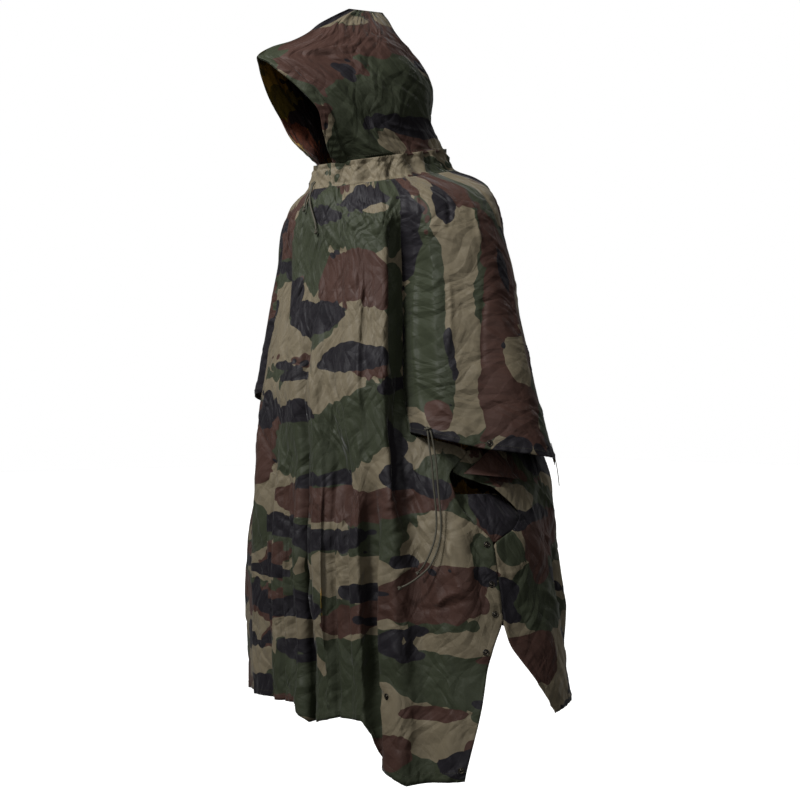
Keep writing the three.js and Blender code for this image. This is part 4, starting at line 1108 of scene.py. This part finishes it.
def makeSide(name, node, arm, settings, levels, creases, spots):
    rows = between(levels, settings["step"])
    reach = abs(arm["back"] - arm["front"]) * roundScale
    columns = round(reach / settings["step"])
    gap = seamGapAngle / abs(arm["back"] - arm["front"])
    share = np.repeat(mix(gap, 1 - gap, np.arange(columns + 1) / columns)[None], len(rows), 0)
    reference = levels[-1]
    cuff = readStraight(settings["cuff"], "share", "level", share)
    level = rows[:, None] * mix(1, cuff / reference, smooth(0, reference, rows)[:, None])
    points = armPoint(arm, share, level)
    angle = mix(arm["front"], arm["back"], share)
    if arm["back"] < arm["front"]:
        points, level, share, angle = points[:, ::-1], level[:, ::-1], share[:, ::-1], angle[:, ::-1]
    across = angle * roundScale
    edge = np.minimum(share, 1 - share) * reach
    still = smooth(0, sewnSeam["neckFade"], -level) * smooth(0, sewnSeam["width"], edge)
    points = crumple(points, across, level, creases, settings["seed"], settings["strength"], still)
    rowsIn = np.repeat(np.arange(len(points))[::-1, None], points.shape[1], 1)
    rowsIn = rowsIn * settings["step"] / frontSet["step"]
    points = foldedEdge(points, across, rowsIn)
    flat = np.stack([level, across + sideFlatShift], -1) * mm
    addCloth(name, node, points, flat, favour=printAndShadeFavour(angle, level, spots))
    return points


leftSmall = scatteredCreases(8, 110, (-33, 38), (-560, -50), (20, 80), -4, 40, 1.3)
rightSmall = scatteredCreases(9, 90, (-218, -143), (-450, -50), (20, 80), 4, 40, 1.3)
leftSpots = namedRows(inkColumns, [
    # The narrow charcoal strip at -31 degrees and the green one at -29 degrees, in the valley by the chest,
    # are painted shade, not print.
    ("charcoal", -15, -70, 5, 38), ("charcoal", -31, -150, 3, 70), ("green", -29, -330, 4, 110),
    ("green", -22, -240, 3.5, 90), ("green", -23, -390, 4, 60), ("brown", -25, -470, 4, 26),
    ("sand", -8, -120, 5, 50), ("sand", -12, -200, 5, 60), ("sand", -14, -290, 5, 60),
    ("sand", -14, -370, 4.5, 50), ("sand", -16, -460, 5, 50), ("brown", 3, -120, 6, 50),
    ("charcoal", 6, -190, 4, 60), ("charcoal", 4, -196, 4, 50), ("brown", 2, -200, 9, 70),
    ("brown", 1, -270, 7, 56), ("brown", -6, -350, 3, 56), ("brown", -3, -460, 6, 46),
    ("sand", 3, -374, 5, 40), ("brown", 13, -340, 5, 70), ("green", 11, -484, 5, 30),
    ("sand", 16, -60, 5, 40), ("green", 24, -180, 5, 60), ("sand", 28, -330, 5, 60),
])
leftPoints = makeSide("leftSideCloth", "side_left", leftArm, leftSet, upperLevels + [-460, leftCuffLevel],
                      leftCreases + leftSmall, leftSpots)
rightPoints = makeSide("rightSideCloth", "side_right", rightArm, rightSet, upperLevels, rightSmall, [])

# The gathered neck band, one ring, drawn in by its cord
bandSet = {
    "columns": 576, "step": 2.2, "top": 46.5, "middle": 20, "low": -0.3, "perDegree": 2.4, "join": 12,
    "fill": 2.6, "fillReach": 24, "groove": 1.6, "grooveReach": 6, "grooves": (38, 5),
    "fadeBelow": (0, 7), "fadeAbove": (41.7, 35), "flatPerDegree": 3.0, "flatShift": 260,
    "pleats": [
        {"height": 2.8, "width": 9, "longer": 3.2, "lean": 0.9, "seed": 151},
        {"height": 0.6 * 2.8, "width": 2.1 * 9, "longer": 1.4, "lean": -0.7, "seed": 155},
    ],
    "spots": namedRows(inkColumns, [
        ("sand", -60, 20, 60, 40), ("charcoal", -118, 20, 10, 30), ("green", 10, 20, 10, 30),
    ]),
    "sheet": {"flat": (1.05, 0.045), "held": "gathered", "restsOn": ["front"], "area": None},
}


def makeBand(settings):
    rows = between([settings["top"], settings["middle"], settings["low"]], settings["step"])
    angle = np.repeat((-180 + 360 * np.arange(settings["columns"]) / settings["columns"])[None], len(rows), 0)
    level = np.repeat(rows[:, None], angle.shape[1], 1)
    points = bodyPoint(angle, level)
    normals = gridNormals(points, True)
    across = angle * settings["perDegree"]
    pleats = 0
    for pleat in settings["pleats"]:
        slanted = across + pleat["lean"] * level
        pleated = facets(slanted, level, pleat["width"], pleat["longer"], pleat["seed"])
        pleats = pleats + pleat["height"] * pleated
    pleats = pleats * smooth(0, settings["join"], 180 - np.abs(angle))
    tunnel = settings["fill"] * bump((level - settings["middle"]) / settings["fillReach"])
    for groove in settings["grooves"]:
        tunnel = tunnel - settings["groove"] * bump((level - groove) / settings["grooveReach"])
    height = (pleats + tunnel) * smooth(*settings["fadeBelow"], level) * smooth(*settings["fadeAbove"], level)
    height = np.where(height > 0, height * smooth(*keepFlat["cord"], nearest(points, cordSpots)), height)
    points = points + normals * height[..., None]
    padded = np.concatenate([angle, angle[:, :1] + 360], 1)
    down = np.repeat(rows[:, None], padded.shape[1], 1) + settings["flatShift"]
    flat = np.stack([padded * settings["flatPerDegree"], down], -1) * mm
    addCloth("neckBandCloth", "neck_band", points, flat, True,
             printAndShadeFavour(angle, level, settings["spots"]))


makeBand(bandSet)

# The hood, two halves with a seam over the crown
hoodSet = {
    "turn": -8, "turnHeight": 80, "turnStart": 42, "browLevel": 222, "foldFade": 30,
    "seamGap": -1.0, "columns": 150, "step": 2.6, "round": 400, "strength": 1.15, "seed": 171,
    "crownFade": (334, 318), "browOverlap": 4, "browFade": 26, "seamFade": 18, "footFade": (42, 54),
    "flatShift": (1700, 900), "flatStretch": 1.1,
    "sheet": {"flat": (0.42, 0.36), "held": "draped", "restsOn": ["neck_band"], "area": 0.116},
}
hoodColumns = ("level", "rimX", "rimY", "sideX", "sideY", "backY")
hoodSections = namedRows(hoodColumns, [
    (42, 20, -146, 118, -12, 126), (70, 38, -168, 110, -20, 114), (95, 60, -182, 108, -28, 100),
    (128, 76, -196, 113, -36, 96), (160, 62, -230, 113, -40, 97), (186, 40, -257, 108, -44, 93),
    (208, 20, -275, 101, -50, 86), (222, 0, -288, 96, -54, 78), (243, 0, -256, 86, -60, 63),
    (258, 0, -214, 76, -62, 49), (277, 0, -178, 61, -62, 33), (298, 0, -151, 42, -58, 18),
    (320, 0, -112, 20, -50, 6), (334, 0, -84, 0, -42, -6),
])
hoodFolds = namedRows(("topPlace", "top", "endPlace", "end", "spread", "height"), [
    (0.72, 270, 0.86, 70, 0.12, -8), (0.2, 250, 0.34, 90, 0.12, -8), (0.5, 320, 0.62, 180, 0.16, 6),
])
# By place from rim to back, in hundredths, and level: creases along the crown, down the rim and over the back
hoodCreases = placed([
    (6, 232, 40, 262, 8, 8, 2.4), (10, 224, 46, 244, 6, 7, -2.2), (22, 268, 60, 276, 5, 7, 2.0),
    (40, 292, 80, 262, 5, 7, -2.0), (46, 272, 84, 236, 6, 8, 2.2), (60, 300, 92, 250, 4, 7, 1.8),
    (8, 214, 20, 120, 8, 8, -3.4), (13, 208, 26, 110, 6, 8, 2.6), (34, 190, 62, 120, 8, 9, 2.2),
    (40, 205, 74, 138, 7, 9, -2.2), (50, 215, 82, 160, 6, 8, 2.0), (60, 222, 88, 186, 5, 8, -1.8),
    (30, 120, 70, 82, 6, 8, 2.2), (26, 96, 52, 66, 5, 7, -2.2), (62, 128, 90, 84, 6, 9, 2.4),
    (70, 150, 96, 118, 5, 8, -2.2), (16, 100, 24, 56, 4, 7, 2.2), (44, 80, 60, 52, 4, 7, 2.0),
    (74, 88, 92, 58, 4, 8, -2.6),
], hoodSet["round"] / 100)


def hoodPoint(side, place, level):
    section = (readSmooth(hoodSections, "level", column, level) for column in hoodColumns[1:])
    rimX, rimY, sideX, sideY, backY = section
    forward = np.clip(1 - 2 * place, 0, 1)
    backward = np.radians(90 * np.clip(2 * place - 1, 0, 1))
    x = np.where(forward > 0, sideX - (sideX - rimX) * forward**2, sideX * np.cos(backward))
    y = np.where(forward > 0, mix(sideY, rimY, forward), mix(sideY, backY, np.sin(backward)))
    for fold in hoodFolds:
        share = np.clip((fold["top"] - level) / (fold["top"] - fold["end"]), 0, 1)
        fade = smooth(fold["top"], fold["top"] - hoodSet["foldFade"], level)
        fade = fade * smooth(fold["end"], fold["end"] + hoodSet["foldFade"], level)
        middle = mix(fold["topPlace"], fold["endPlace"], share)
        x = x + fold["height"] * fade * bump((place - middle) / fold["spread"])
    x = np.maximum(0, x) + hoodSet["seamGap"] / 2
    start = hoodSet["turnStart"]
    turn = np.radians(hoodSet["turn"]) * smooth(start, start + hoodSet["turnHeight"], level)
    turnedX = side * x * np.cos(turn) - y * np.sin(turn)
    turnedY = side * x * np.sin(turn) + y * np.cos(turn)
    lean = bodySet["neckTilt"] * turnedY * (1 - smooth(start, start + bodySet["neckTiltFade"], level))
    return np.stack([turnedX, turnedY, level + lean], -1)


def hoodFlat(side, place, level):
    shift = hoodSet["flatShift"]
    across = place * hoodSet["round"] * side + shift[0]
    return np.stack([across, level * hoodSet["flatStretch"] + shift[1]], -1) * mm


# On the hood the spots are by place from rim to back, in hundredths, and level
hoodSpots = namedRows(inkColumns, [
    ("brown", 40, 262, 46, 34), ("green", 62, 168, 32, 48), ("charcoal", 45, 106, 26, 21),
    ("charcoal", 62, 92, 15, 17), ("sand", 35, 68, 8, 22), ("sand", 68, 60, 8, 11),
    ("green", 88, 120, 12, 50), ("brown", 13, 190, 10, 36), ("green", 20, 145, 7, 34),
    ("sand", 30, 308, 14, 9), ("green", 14, 90, 9, 40),
])


def hoodGrid(side, places, rows):
    place = np.repeat(places[None], len(rows), 0)
    level = np.repeat(rows[:, None], len(places), 1)
    return place, level, hoodPoint(side, place, level)


def makeHood(name, node, side, settings, creases):
    rows = between([section["level"] for section in hoodSections][::-1], settings["step"])
    places = np.arange(settings["columns"] + 1) / settings["columns"]
    place, level, points = hoodGrid(side, places, rows)
    if side < 0:
        place, level, points = place[:, ::-1], level[:, ::-1], points[:, ::-1]
    across = place * settings["round"]
    crown = smooth(*settings["crownFade"], level)
    overBrow = level > settings["browLevel"] - settings["browOverlap"]
    seamFront = np.where(overBrow, smooth(0, settings["browFade"], across), 1)
    seamBack = smooth(settings["round"], settings["round"] - settings["seamFade"], across)
    still = smooth(*settings["footFade"], level) * crown * seamFront * seamBack
    points = crumple(points, across, level, creases, settings["seed"] + side, settings["strength"], still)
    spots = hoodSpots if side > 0 else []
    addCloth(name, node, points, hoodFlat(side, place, level),
             favour=printAndShadeFavour(place * 100, level, spots))
    return points


hoodSmall = scatteredCreases(12, 90, (10, 390), (60, 320), (18, 60), 60, 40, 1.1, 1)
leftHood = makeHood("hoodLeftCloth", "hood_left", 1, hoodSet, hoodCreases + hoodSmall)
rightHood = makeHood("hoodRightCloth", "hood_right", -1, hoodSet, hoodCreases + hoodSmall)

# The drawcord tunnel round the face opening, a folded strip that the cord fills out
rimSet = {
    "width": 24, "lift": 0.9, "rise": 1.8, "roundness": 0.8, "columns": 12, "step": 2.6,
    "pucker": 11, "puckerDepth": 0.35, "scaleLevel": 128.0, "scalePlace": 0.05,
    "sheet": {"flat": (0.025, 0.29), "held": "gathered", "area": None},
}


def makeRim(name, node, side, settings):
    levels = [section["level"] for section in hoodSections if section["level"] <= hoodSet["browLevel"]]
    rows = between(levels[::-1], settings["step"])
    span = hoodPoint(side, np.array([0.0, settings["scalePlace"]]), np.full(2, settings["scaleLevel"]))
    perPlace = np.linalg.norm(span[1] - span[0]) / settings["scalePlace"]
    places = np.linspace(0, settings["width"] / perPlace, settings["columns"] + 1)
    place, level, points = hoodGrid(side, places, rows)
    over = place / places[-1]
    if side < 0:
        place, level, points, over = (array[:, ::-1] for array in (place, level, points, over))
    pucker = 1 + settings["puckerDepth"] * np.sin(level * 2 * math.pi / settings["pucker"])
    rise = settings["lift"] + settings["rise"] * np.sin(math.pi * over) ** settings["roundness"] * pucker
    points = points + gridNormals(points) * rise[..., None]
    spots = hoodSpots if side > 0 else []
    addCloth(name, node, points, hoodFlat(side, place, level), False,
             printAndShadeFavour(place * 100, level, spots))


makeRim("rimLeftCloth", "rim_left", 1, rimSet)
makeRim("rimRightCloth", "rim_right", -1, rimSet)

# The tie tab at the rear of the left cuff
tabSet = {
    "shares": (0.66, 0.682), "columns": 7, "levels": [-522, -540, -558, -580, -602], "lift": 1.6, "step": 2,
    "thickness": 1.2, "flatWidth": 300, "flatShift": 3100,
    "sheet": {"flat": (0.013, 0.08), "held": "hung", "restsOn": ["leftSideCloth"], "area": None},
}


def makeTab(settings):
    rows = between(settings["levels"], settings["step"])
    share = np.repeat(np.linspace(*settings["shares"], settings["columns"])[None], len(rows), 0)
    level = np.repeat(rows[:, None], share.shape[1], 1)
    points = armPoint(leftArm, share, level)
    points = points + gridNormals(points) * settings["lift"]
    flat = np.stack([share * settings["flatWidth"] + settings["flatShift"], level], -1) * mm
    addCloth("tieTab", "tie_tab_left", points, flat,
             thickness=settings["thickness"])


makeTab(tabSet)


# The front's corner, turned back on itself under the cuff
cornerSet = {
    "top": (-3, -526), "left": (-16, -577), "right": (4.5, -588), "topWidth": 0.16, "columns": 30, "rows": 26,
    "lift": 4, "arch": 7, "curl": 6, "crinkle": 1.2, "crinkleWidth": 16, "seed": 211, "flatShift": (480, 120),
    "spots": namedRows(inkColumns, [("brown", -6, -566, 14, 50)]),
    "sheet": {"flat": (0.1, 0.06), "held": "folded", "restsOn": ["front"], "area": 0.0047},
}


def makeCorner(settings):
    along, down = np.meshgrid(np.linspace(0, 1, settings["columns"]), np.linspace(0, 1, settings["rows"]))
    top, left, right = (np.array(settings[name], float) for name in ("top", "left", "right"))
    wide = along * mix(settings["topWidth"], 1, down)
    place = top + (left - top) * down[..., None] + (right - left) * wide[..., None]
    lift = settings["lift"] + settings["arch"] * np.sin(math.pi * along) * down
    lift += settings["curl"] * smooth(0.8, 1, down) * smooth(0, 0.4, along)
    angle, level = place[..., 0], place[..., 1]
    crinkles = facets(angle * roundScale, level, settings["crinkleWidth"], 1.2, settings["seed"])
    lift += settings["crinkle"] * crinkles * np.sin(math.pi * along)
    points = bodyPoint(angle, level, -lift)
    shift = settings["flatShift"]
    flat = np.stack([angle * roundScale + shift[0], level + shift[1]], -1) * mm
    addCloth("turnedCorner", "front", points, flat,
             favour=printAndShadeFavour(angle, level, settings["spots"]))


makeCorner(cornerSet)

# The cloth that is gathered inward at the foot of the armhole, in pleats that run to the top snap
gatherSet = {
    "top": -616, "end": -703, "columns": 44, "rows": 34, "beyond": 2.5,
    "topInset": 30, "footInset": 4, "leastInset": 3, "belly": 12,
    "pleats": 9, "pleatHeight": 3.2, "pleatReach": (4, 30), "centre": (-9.5, -706), "flatShift": (900, 300),
    "spots": namedRows(inkColumns, [("charcoal", -3, -655, 9, 40), ("green", -18, -650, 5, 40)]),
    "sheet": {"flat": (0.14, 0.09), "held": "gathered", "restsOn": ["front"], "area": None},
}


def makeGathered(settings):
    rows = np.linspace(settings["top"], settings["end"], settings["rows"])
    first = readStraight(frontLeftEdge, "level", "angle", rows) - settings["beyond"]
    last = readStraight(backLeftEdge, "level", "angle", rows) + settings["beyond"]
    along = np.linspace(0, 1, settings["columns"])[None]
    angle = mix(first[:, None], last[:, None], along)
    level = np.repeat(rows[:, None], angle.shape[1], 1)
    foot = smooth(settings["top"], settings["end"], level)
    inset = mix(settings["topInset"], settings["footInset"], foot)
    inset = inset - settings["belly"] * np.sin(math.pi * foot)
    centre = settings["centre"]
    way = np.arctan2((angle - centre[0]) * roundScale, level - centre[1])
    reach = np.hypot((angle - centre[0]) * roundScale, level - centre[1])
    pleats = np.abs(np.sin(settings["pleats"] * way + 0.6 * np.sin(3 * way))) - 0.5
    inset = inset - settings["pleatHeight"] * pleats * smooth(*settings["pleatReach"], reach)
    inset = np.maximum(inset, settings["leastInset"])
    points = bodyPoint(angle, level, inset)
    shift = settings["flatShift"]
    flat = np.stack([angle * roundScale + shift[0], level + shift[1]], -1) * mm
    addCloth("gatheredFold", "front", points, flat,
             favour=printAndShadeFavour(angle, level, settings["spots"]))


makeGathered(gatherSet)

# A loop of cord round the cuff's two ends, where they leave the cloth
loopSet = {
    "centre": (0.2875, -0.136, -0.4925), "radius": 5.2, "lean": 0.25, "thread": 1.2, "sides": 8, "points": 28,
}


def makeLoop(settings):
    turn = np.linspace(0, 2 * math.pi, settings["points"], endpoint=False)
    ring = np.stack([np.cos(turn), np.sin(turn), settings["lean"] * np.sin(turn)], -1)
    path = np.array(settings["centre"]) + ring * settings["radius"] * mm
    tube = tubeMesh("cuffLoop", path, settings["thread"] * mm, settings["sides"], True)
    loop = addObject("cuffLoop", tube, [cordMaterial])
    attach(loop, "root")


makeLoop(loopSet)


# Geometry Nodes
def newTree(name, inputs):
    tree = bpy.data.node_groups.new(name, "GeometryNodeTree")
    tree.interface.new_socket("Geometry", in_out="INPUT", socket_type="NodeSocketGeometry")
    sockets = {}
    for label, kind in inputs:
        sockets[label] = tree.interface.new_socket(label, in_out="INPUT", socket_type=kind).identifier
    tree.interface.new_socket("Geometry", in_out="OUTPUT", socket_type="NodeSocketGeometry")
    return tree, sockets, addNode(tree, "NodeGroupInput").outputs


def runTree(name, start, tree, values, material, slot, *nodes):
    # Runs a tree on a mesh and keeps the plain mesh that comes out
    source = addObject(name + "Source", start, [])
    modifier = source.modifiers.new("nodes", "NODES")
    modifier.node_group = tree
    for identifier, value in values.items():
        modifier[identifier] = value
    evaluated = source.evaluated_get(bpy.context.evaluated_depsgraph_get())
    mesh = bpy.data.meshes.new_from_object(evaluated)
    mesh.name = name
    bpy.data.objects.remove(source)
    if not len(mesh.materials):
        mesh.materials.append(material)
    piece = bpy.data.objects.new(name, mesh)
    bpy.context.scene.collection.objects.link(piece)
    mesh.polygons.foreach_set("use_smooth", np.ones(len(mesh.polygons), bool))
    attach(piece, "root")
    if nodes:
        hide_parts(*nodes)
    print("made:", name, len(mesh.polygons), "faces")


# Snap fasteners: a stamped ring with a dome in it, on each place where the part has one
snapSet = {
    "segments": 20,
    "profile": [
        (0, 0.0), (6.0, 0.0), (6.2, 0.5), (5.8, 1.3), (5.0, 1.6), (4.2, 1.4), (3.8, 0.9), (3.1, 0.9),
        (2.8, 1.7), (1.9, 2.3), (0, 2.5),
    ],
}


def latheMesh(name, profile, segments):
    vertices = [(0, 0, profile[0][1] * mm)]
    for radius, height in profile[1:-1]:
        for turn in np.linspace(0, 2 * math.pi, segments, endpoint=False):
            vertices.append((radius * mm * math.cos(turn), radius * mm * math.sin(turn), height * mm))
    vertices.append((0, 0, profile[-1][1] * mm))
    rings = len(profile) - 2
    faces = []
    for corner in range(segments):
        ahead = (corner + 1) % segments
        faces.append((0, 1 + ahead, 1 + corner))
        for ring in range(rings - 1):
            low, high = 1 + ring * segments, 1 + (ring + 1) * segments
            faces.append((low + corner, low + ahead, high + ahead, high + corner))
        top = 1 + (rings - 1) * segments
        faces.append((top + corner, top + ahead, len(vertices) - 1))
    mesh = bpy.data.meshes.new(name)
    mesh.from_pydata(vertices, [], faces)
    return mesh


def makeSnaps(settings):
    nodes = sorted(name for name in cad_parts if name.startswith("snap_"))
    places = []
    facings = []
    for name in nodes:
        corners = np.array([vertex.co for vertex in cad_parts[name].data.vertices])
        middle = corners.mean(0)
        spread = np.linalg.svd(corners - middle, full_matrices=False)[2][2]
        outward = np.array([middle[0], middle[1], 0])
        facing = spread * math.copysign(1, spread @ outward)
        places.append(middle + facing * ((corners - middle) @ facing).min())
        facings.append(facing)
    start = bpy.data.meshes.new("snapPlaces")
    start.from_pydata([tuple(place) for place in places], [], [])
    attribute = start.attributes.new("facing", "FLOAT_VECTOR", "POINT")
    attribute.data.foreach_set("vector", np.array(facings).ravel())
    stamped = latheMesh("snapCap", settings["profile"], settings["segments"])
    cap = addObject("snapCap", stamped, [metalMaterial])
    tree, sockets, given = newTree("snapFasteners", [
        ("Cap", "NodeSocketObject"), ("Size", "NodeSocketFloat"), ("Finish", "NodeSocketMaterial"),
    ])
    points = addNode(tree, "GeometryNodeMeshToPoints", None, {"Mesh": given["Geometry"]})
    facing = addNode(tree, "GeometryNodeInputNamedAttribute", {"data_type": "FLOAT_VECTOR"},
                     {"Name": "facing"})
    turned = addNode(tree, "FunctionNodeAlignRotationToVector", {"axis": "Z"},
                     {"Vector": facing.outputs["Attribute"]})
    shape = addNode(tree, "GeometryNodeObjectInfo", None, {"Object": given["Cap"]})
    copies = addNode(tree, "GeometryNodeInstanceOnPoints", None,
                     {"Points": points.outputs[0], "Instance": shape.outputs["Geometry"],
                      "Rotation": turned.outputs[0], "Scale": given["Size"]})
    real = addNode(tree, "GeometryNodeRealizeInstances", None, {0: copies.outputs[0]})
    finish = addNode(tree, "GeometryNodeSetMaterial", None,
                     {"Geometry": real.outputs[0], "Material": given["Finish"]})
    addNode(tree, "NodeGroupOutput", None, {"Geometry": finish.outputs[0]})
    values = {sockets["Cap"]: cap, sockets["Size"]: 1.0, sockets["Finish"]: metalMaterial}
    runTree("snapFasteners", start, tree, values, metalMaterial, "darkened_brass", *nodes)
    bpy.data.objects.remove(cap)


makeSnaps(snapSet)

# Stitches: one row along each hem, cuff and tunnel, a few millimetres in from the edge
stitchSet = {"spacing": 4.2, "length": 2.9, "thickness": 0.75, "lift": 0.25}


def insetLine(points, row):
    normals = gridNormals(points)
    return points[row] + normals[row] * stitchSet["lift"]


def makeStitches(settings, lines):
    vertices = []
    edges = []
    for line in lines:
        first = len(vertices)
        vertices += [tuple(point * mm) for point in line]
        edges += [(first + index, first + index + 1) for index in range(len(line) - 1)]
    start = bpy.data.meshes.new("stitchLines")
    start.from_pydata(vertices, edges, [])
    tree, sockets, given = newTree("stitchRows", [
        ("Spacing", "NodeSocketFloat"), ("Length", "NodeSocketFloat"), ("Thickness", "NodeSocketFloat"),
        ("Thread", "NodeSocketMaterial"),
    ])
    line = addNode(tree, "GeometryNodeMeshToCurve", None, {"Mesh": given["Geometry"]})
    stops = addNode(tree, "GeometryNodeCurveToPoints", {"mode": "LENGTH"},
                    {"Curve": line.outputs[0], "Length": given["Spacing"]})
    bead = addNode(tree, "GeometryNodeMeshUVSphere", None, {"Segments": 6, "Rings": 4, "Radius": 0.5})
    size = addNode(tree, "ShaderNodeCombineXYZ", None,
                   {0: given["Thickness"], 1: given["Thickness"], 2: given["Length"]})
    copies = addNode(tree, "GeometryNodeInstanceOnPoints", None,
                     {"Points": stops.outputs["Points"], "Instance": bead.outputs[0],
                      "Rotation": stops.outputs["Rotation"], "Scale": size.outputs[0]})
    real = addNode(tree, "GeometryNodeRealizeInstances", None, {0: copies.outputs[0]})
    finish = addNode(tree, "GeometryNodeSetMaterial", None,
                     {"Geometry": real.outputs[0], "Material": given["Thread"]})
    addNode(tree, "NodeGroupOutput", None, {"Geometry": finish.outputs[0]})
    values = {sockets["Spacing"]: settings["spacing"] * mm, sockets["Length"]: settings["length"] * mm,
              sockets["Thickness"]: settings["thickness"] * mm, sockets["Thread"]: threadMaterial}
    runTree("stitchRows", start, tree, values, threadMaterial, "tape_nylon")


stitchLines = [insetLine(frontPoints, -3), insetLine(backPoints, -3), insetLine(leftPoints, -4),
               insetLine(rightPoints, -3), insetLine(leftHood, -5)[:-1], insetLine(rightHood, -5)[1:]]
makeStitches(stitchSet, stitchLines)
print("stitches made")


# Floor, light and backdrop
studioSet = {
    "floor": -1.8, "floorSize": 60, "floorColour": "#fcfcfb", "floorGlow": 0.3, "floorRoughness": 0.9,
    "skyLight": 0.06, "skySeen": 1.0,
}
lightSet = [
    {"name": "keyLight", "azimuth": 4, "elevation": 40, "strength": 2.5, "softness": 9, "shines": True},
    {"name": "backLight", "azimuth": 196, "elevation": 34, "strength": 2.2, "softness": 30, "shines": False},
    {"name": "sideLight", "azimuth": 286, "elevation": 16, "strength": 0.6, "softness": 40, "shines": False},
    {"name": "fillLight", "azimuth": 62, "elevation": 10, "strength": 0.9, "softness": 50, "shines": True},
]
nearLightSet = {
    "place": (-0.1, -1.35, 0.95), "aim": (0.06, -0.1, 0.0), "radius": 0.35, "cone": 66, "watts": 120,
}


def makeNearLight(settings):
    # A soft lamp above the chest, so that the light fades down the poncho
    data = bpy.data.lights.new("nearLight", "SPOT")
    data.spot_size = math.radians(settings["cone"])
    data.spot_blend = 1.0
    data.shadow_soft_size = settings["radius"]
    data.energy = settings["watts"]
    lamp = bpy.data.objects.new("nearLight", data)
    lamp.location = settings["place"]
    towards = np.array(settings["aim"]) - np.array(settings["place"])
    across = math.hypot(towards[0], towards[1])
    lamp.rotation_euler = (math.atan2(across, -towards[2]), 0, math.atan2(-towards[0], towards[1]))
    bpy.context.scene.collection.objects.link(lamp)


def makeStudio(settings, lights):
    half = settings["floorSize"] / 2
    corners = [(-half, -half), (half, -half), (half, half), (-half, half)]
    mesh = bpy.data.meshes.new("studioFloor")
    mesh.from_pydata([(x, y, settings["floor"]) for x, y in corners], [], [(0, 1, 2, 3)])
    material, tree, shader = newMaterial("paintedFloor")
    shader.inputs["Base Color"].default_value = linear(settings["floorColour"])
    shader.inputs["Roughness"].default_value = settings["floorRoughness"]
    shader.inputs["Emission Color"].default_value = linear(settings["floorColour"])
    shader.inputs["Emission Strength"].default_value = settings["floorGlow"]
    floor = addObject("studioFloor", mesh, [material])
    floor.visible_diffuse = False
    floor.visible_glossy = False
    for light in lights:
        data = bpy.data.lights.new(light["name"], "SUN")
        data.energy = light["strength"]
        data.angle = math.radians(light["softness"])
        lamp = bpy.data.objects.new(light["name"], data)
        lamp.rotation_euler = (math.radians(90 - light["elevation"]), 0, math.radians(light["azimuth"]))
        lamp.visible_glossy = light["shines"]
        bpy.context.scene.collection.objects.link(lamp)
    world = bpy.data.worlds.new("studioWorld")
    world.use_nodes = True
    tree = world.node_tree
    tree.nodes.clear()
    seen = addNode(tree, "ShaderNodeLightPath").outputs["Is Camera Ray"]
    strength = addNode(tree, "ShaderNodeMapRange", None,
                       {"Value": seen, "To Min": settings["skyLight"], "To Max": settings["skySeen"]})
    sky = addNode(tree, "ShaderNodeBackground", None,
                  {"Color": (1, 1, 1, 1), "Strength": strength.outputs[0]})
    addNode(tree, "ShaderNodeOutputWorld", None, {"Surface": sky.outputs[0]})
    bpy.context.scene.world = world
    bpy.context.scene.view_settings.view_transform = "Standard"


makeNearLight(nearLightSet)
makeStudio(studioSet, lightSet)
print("studio made")
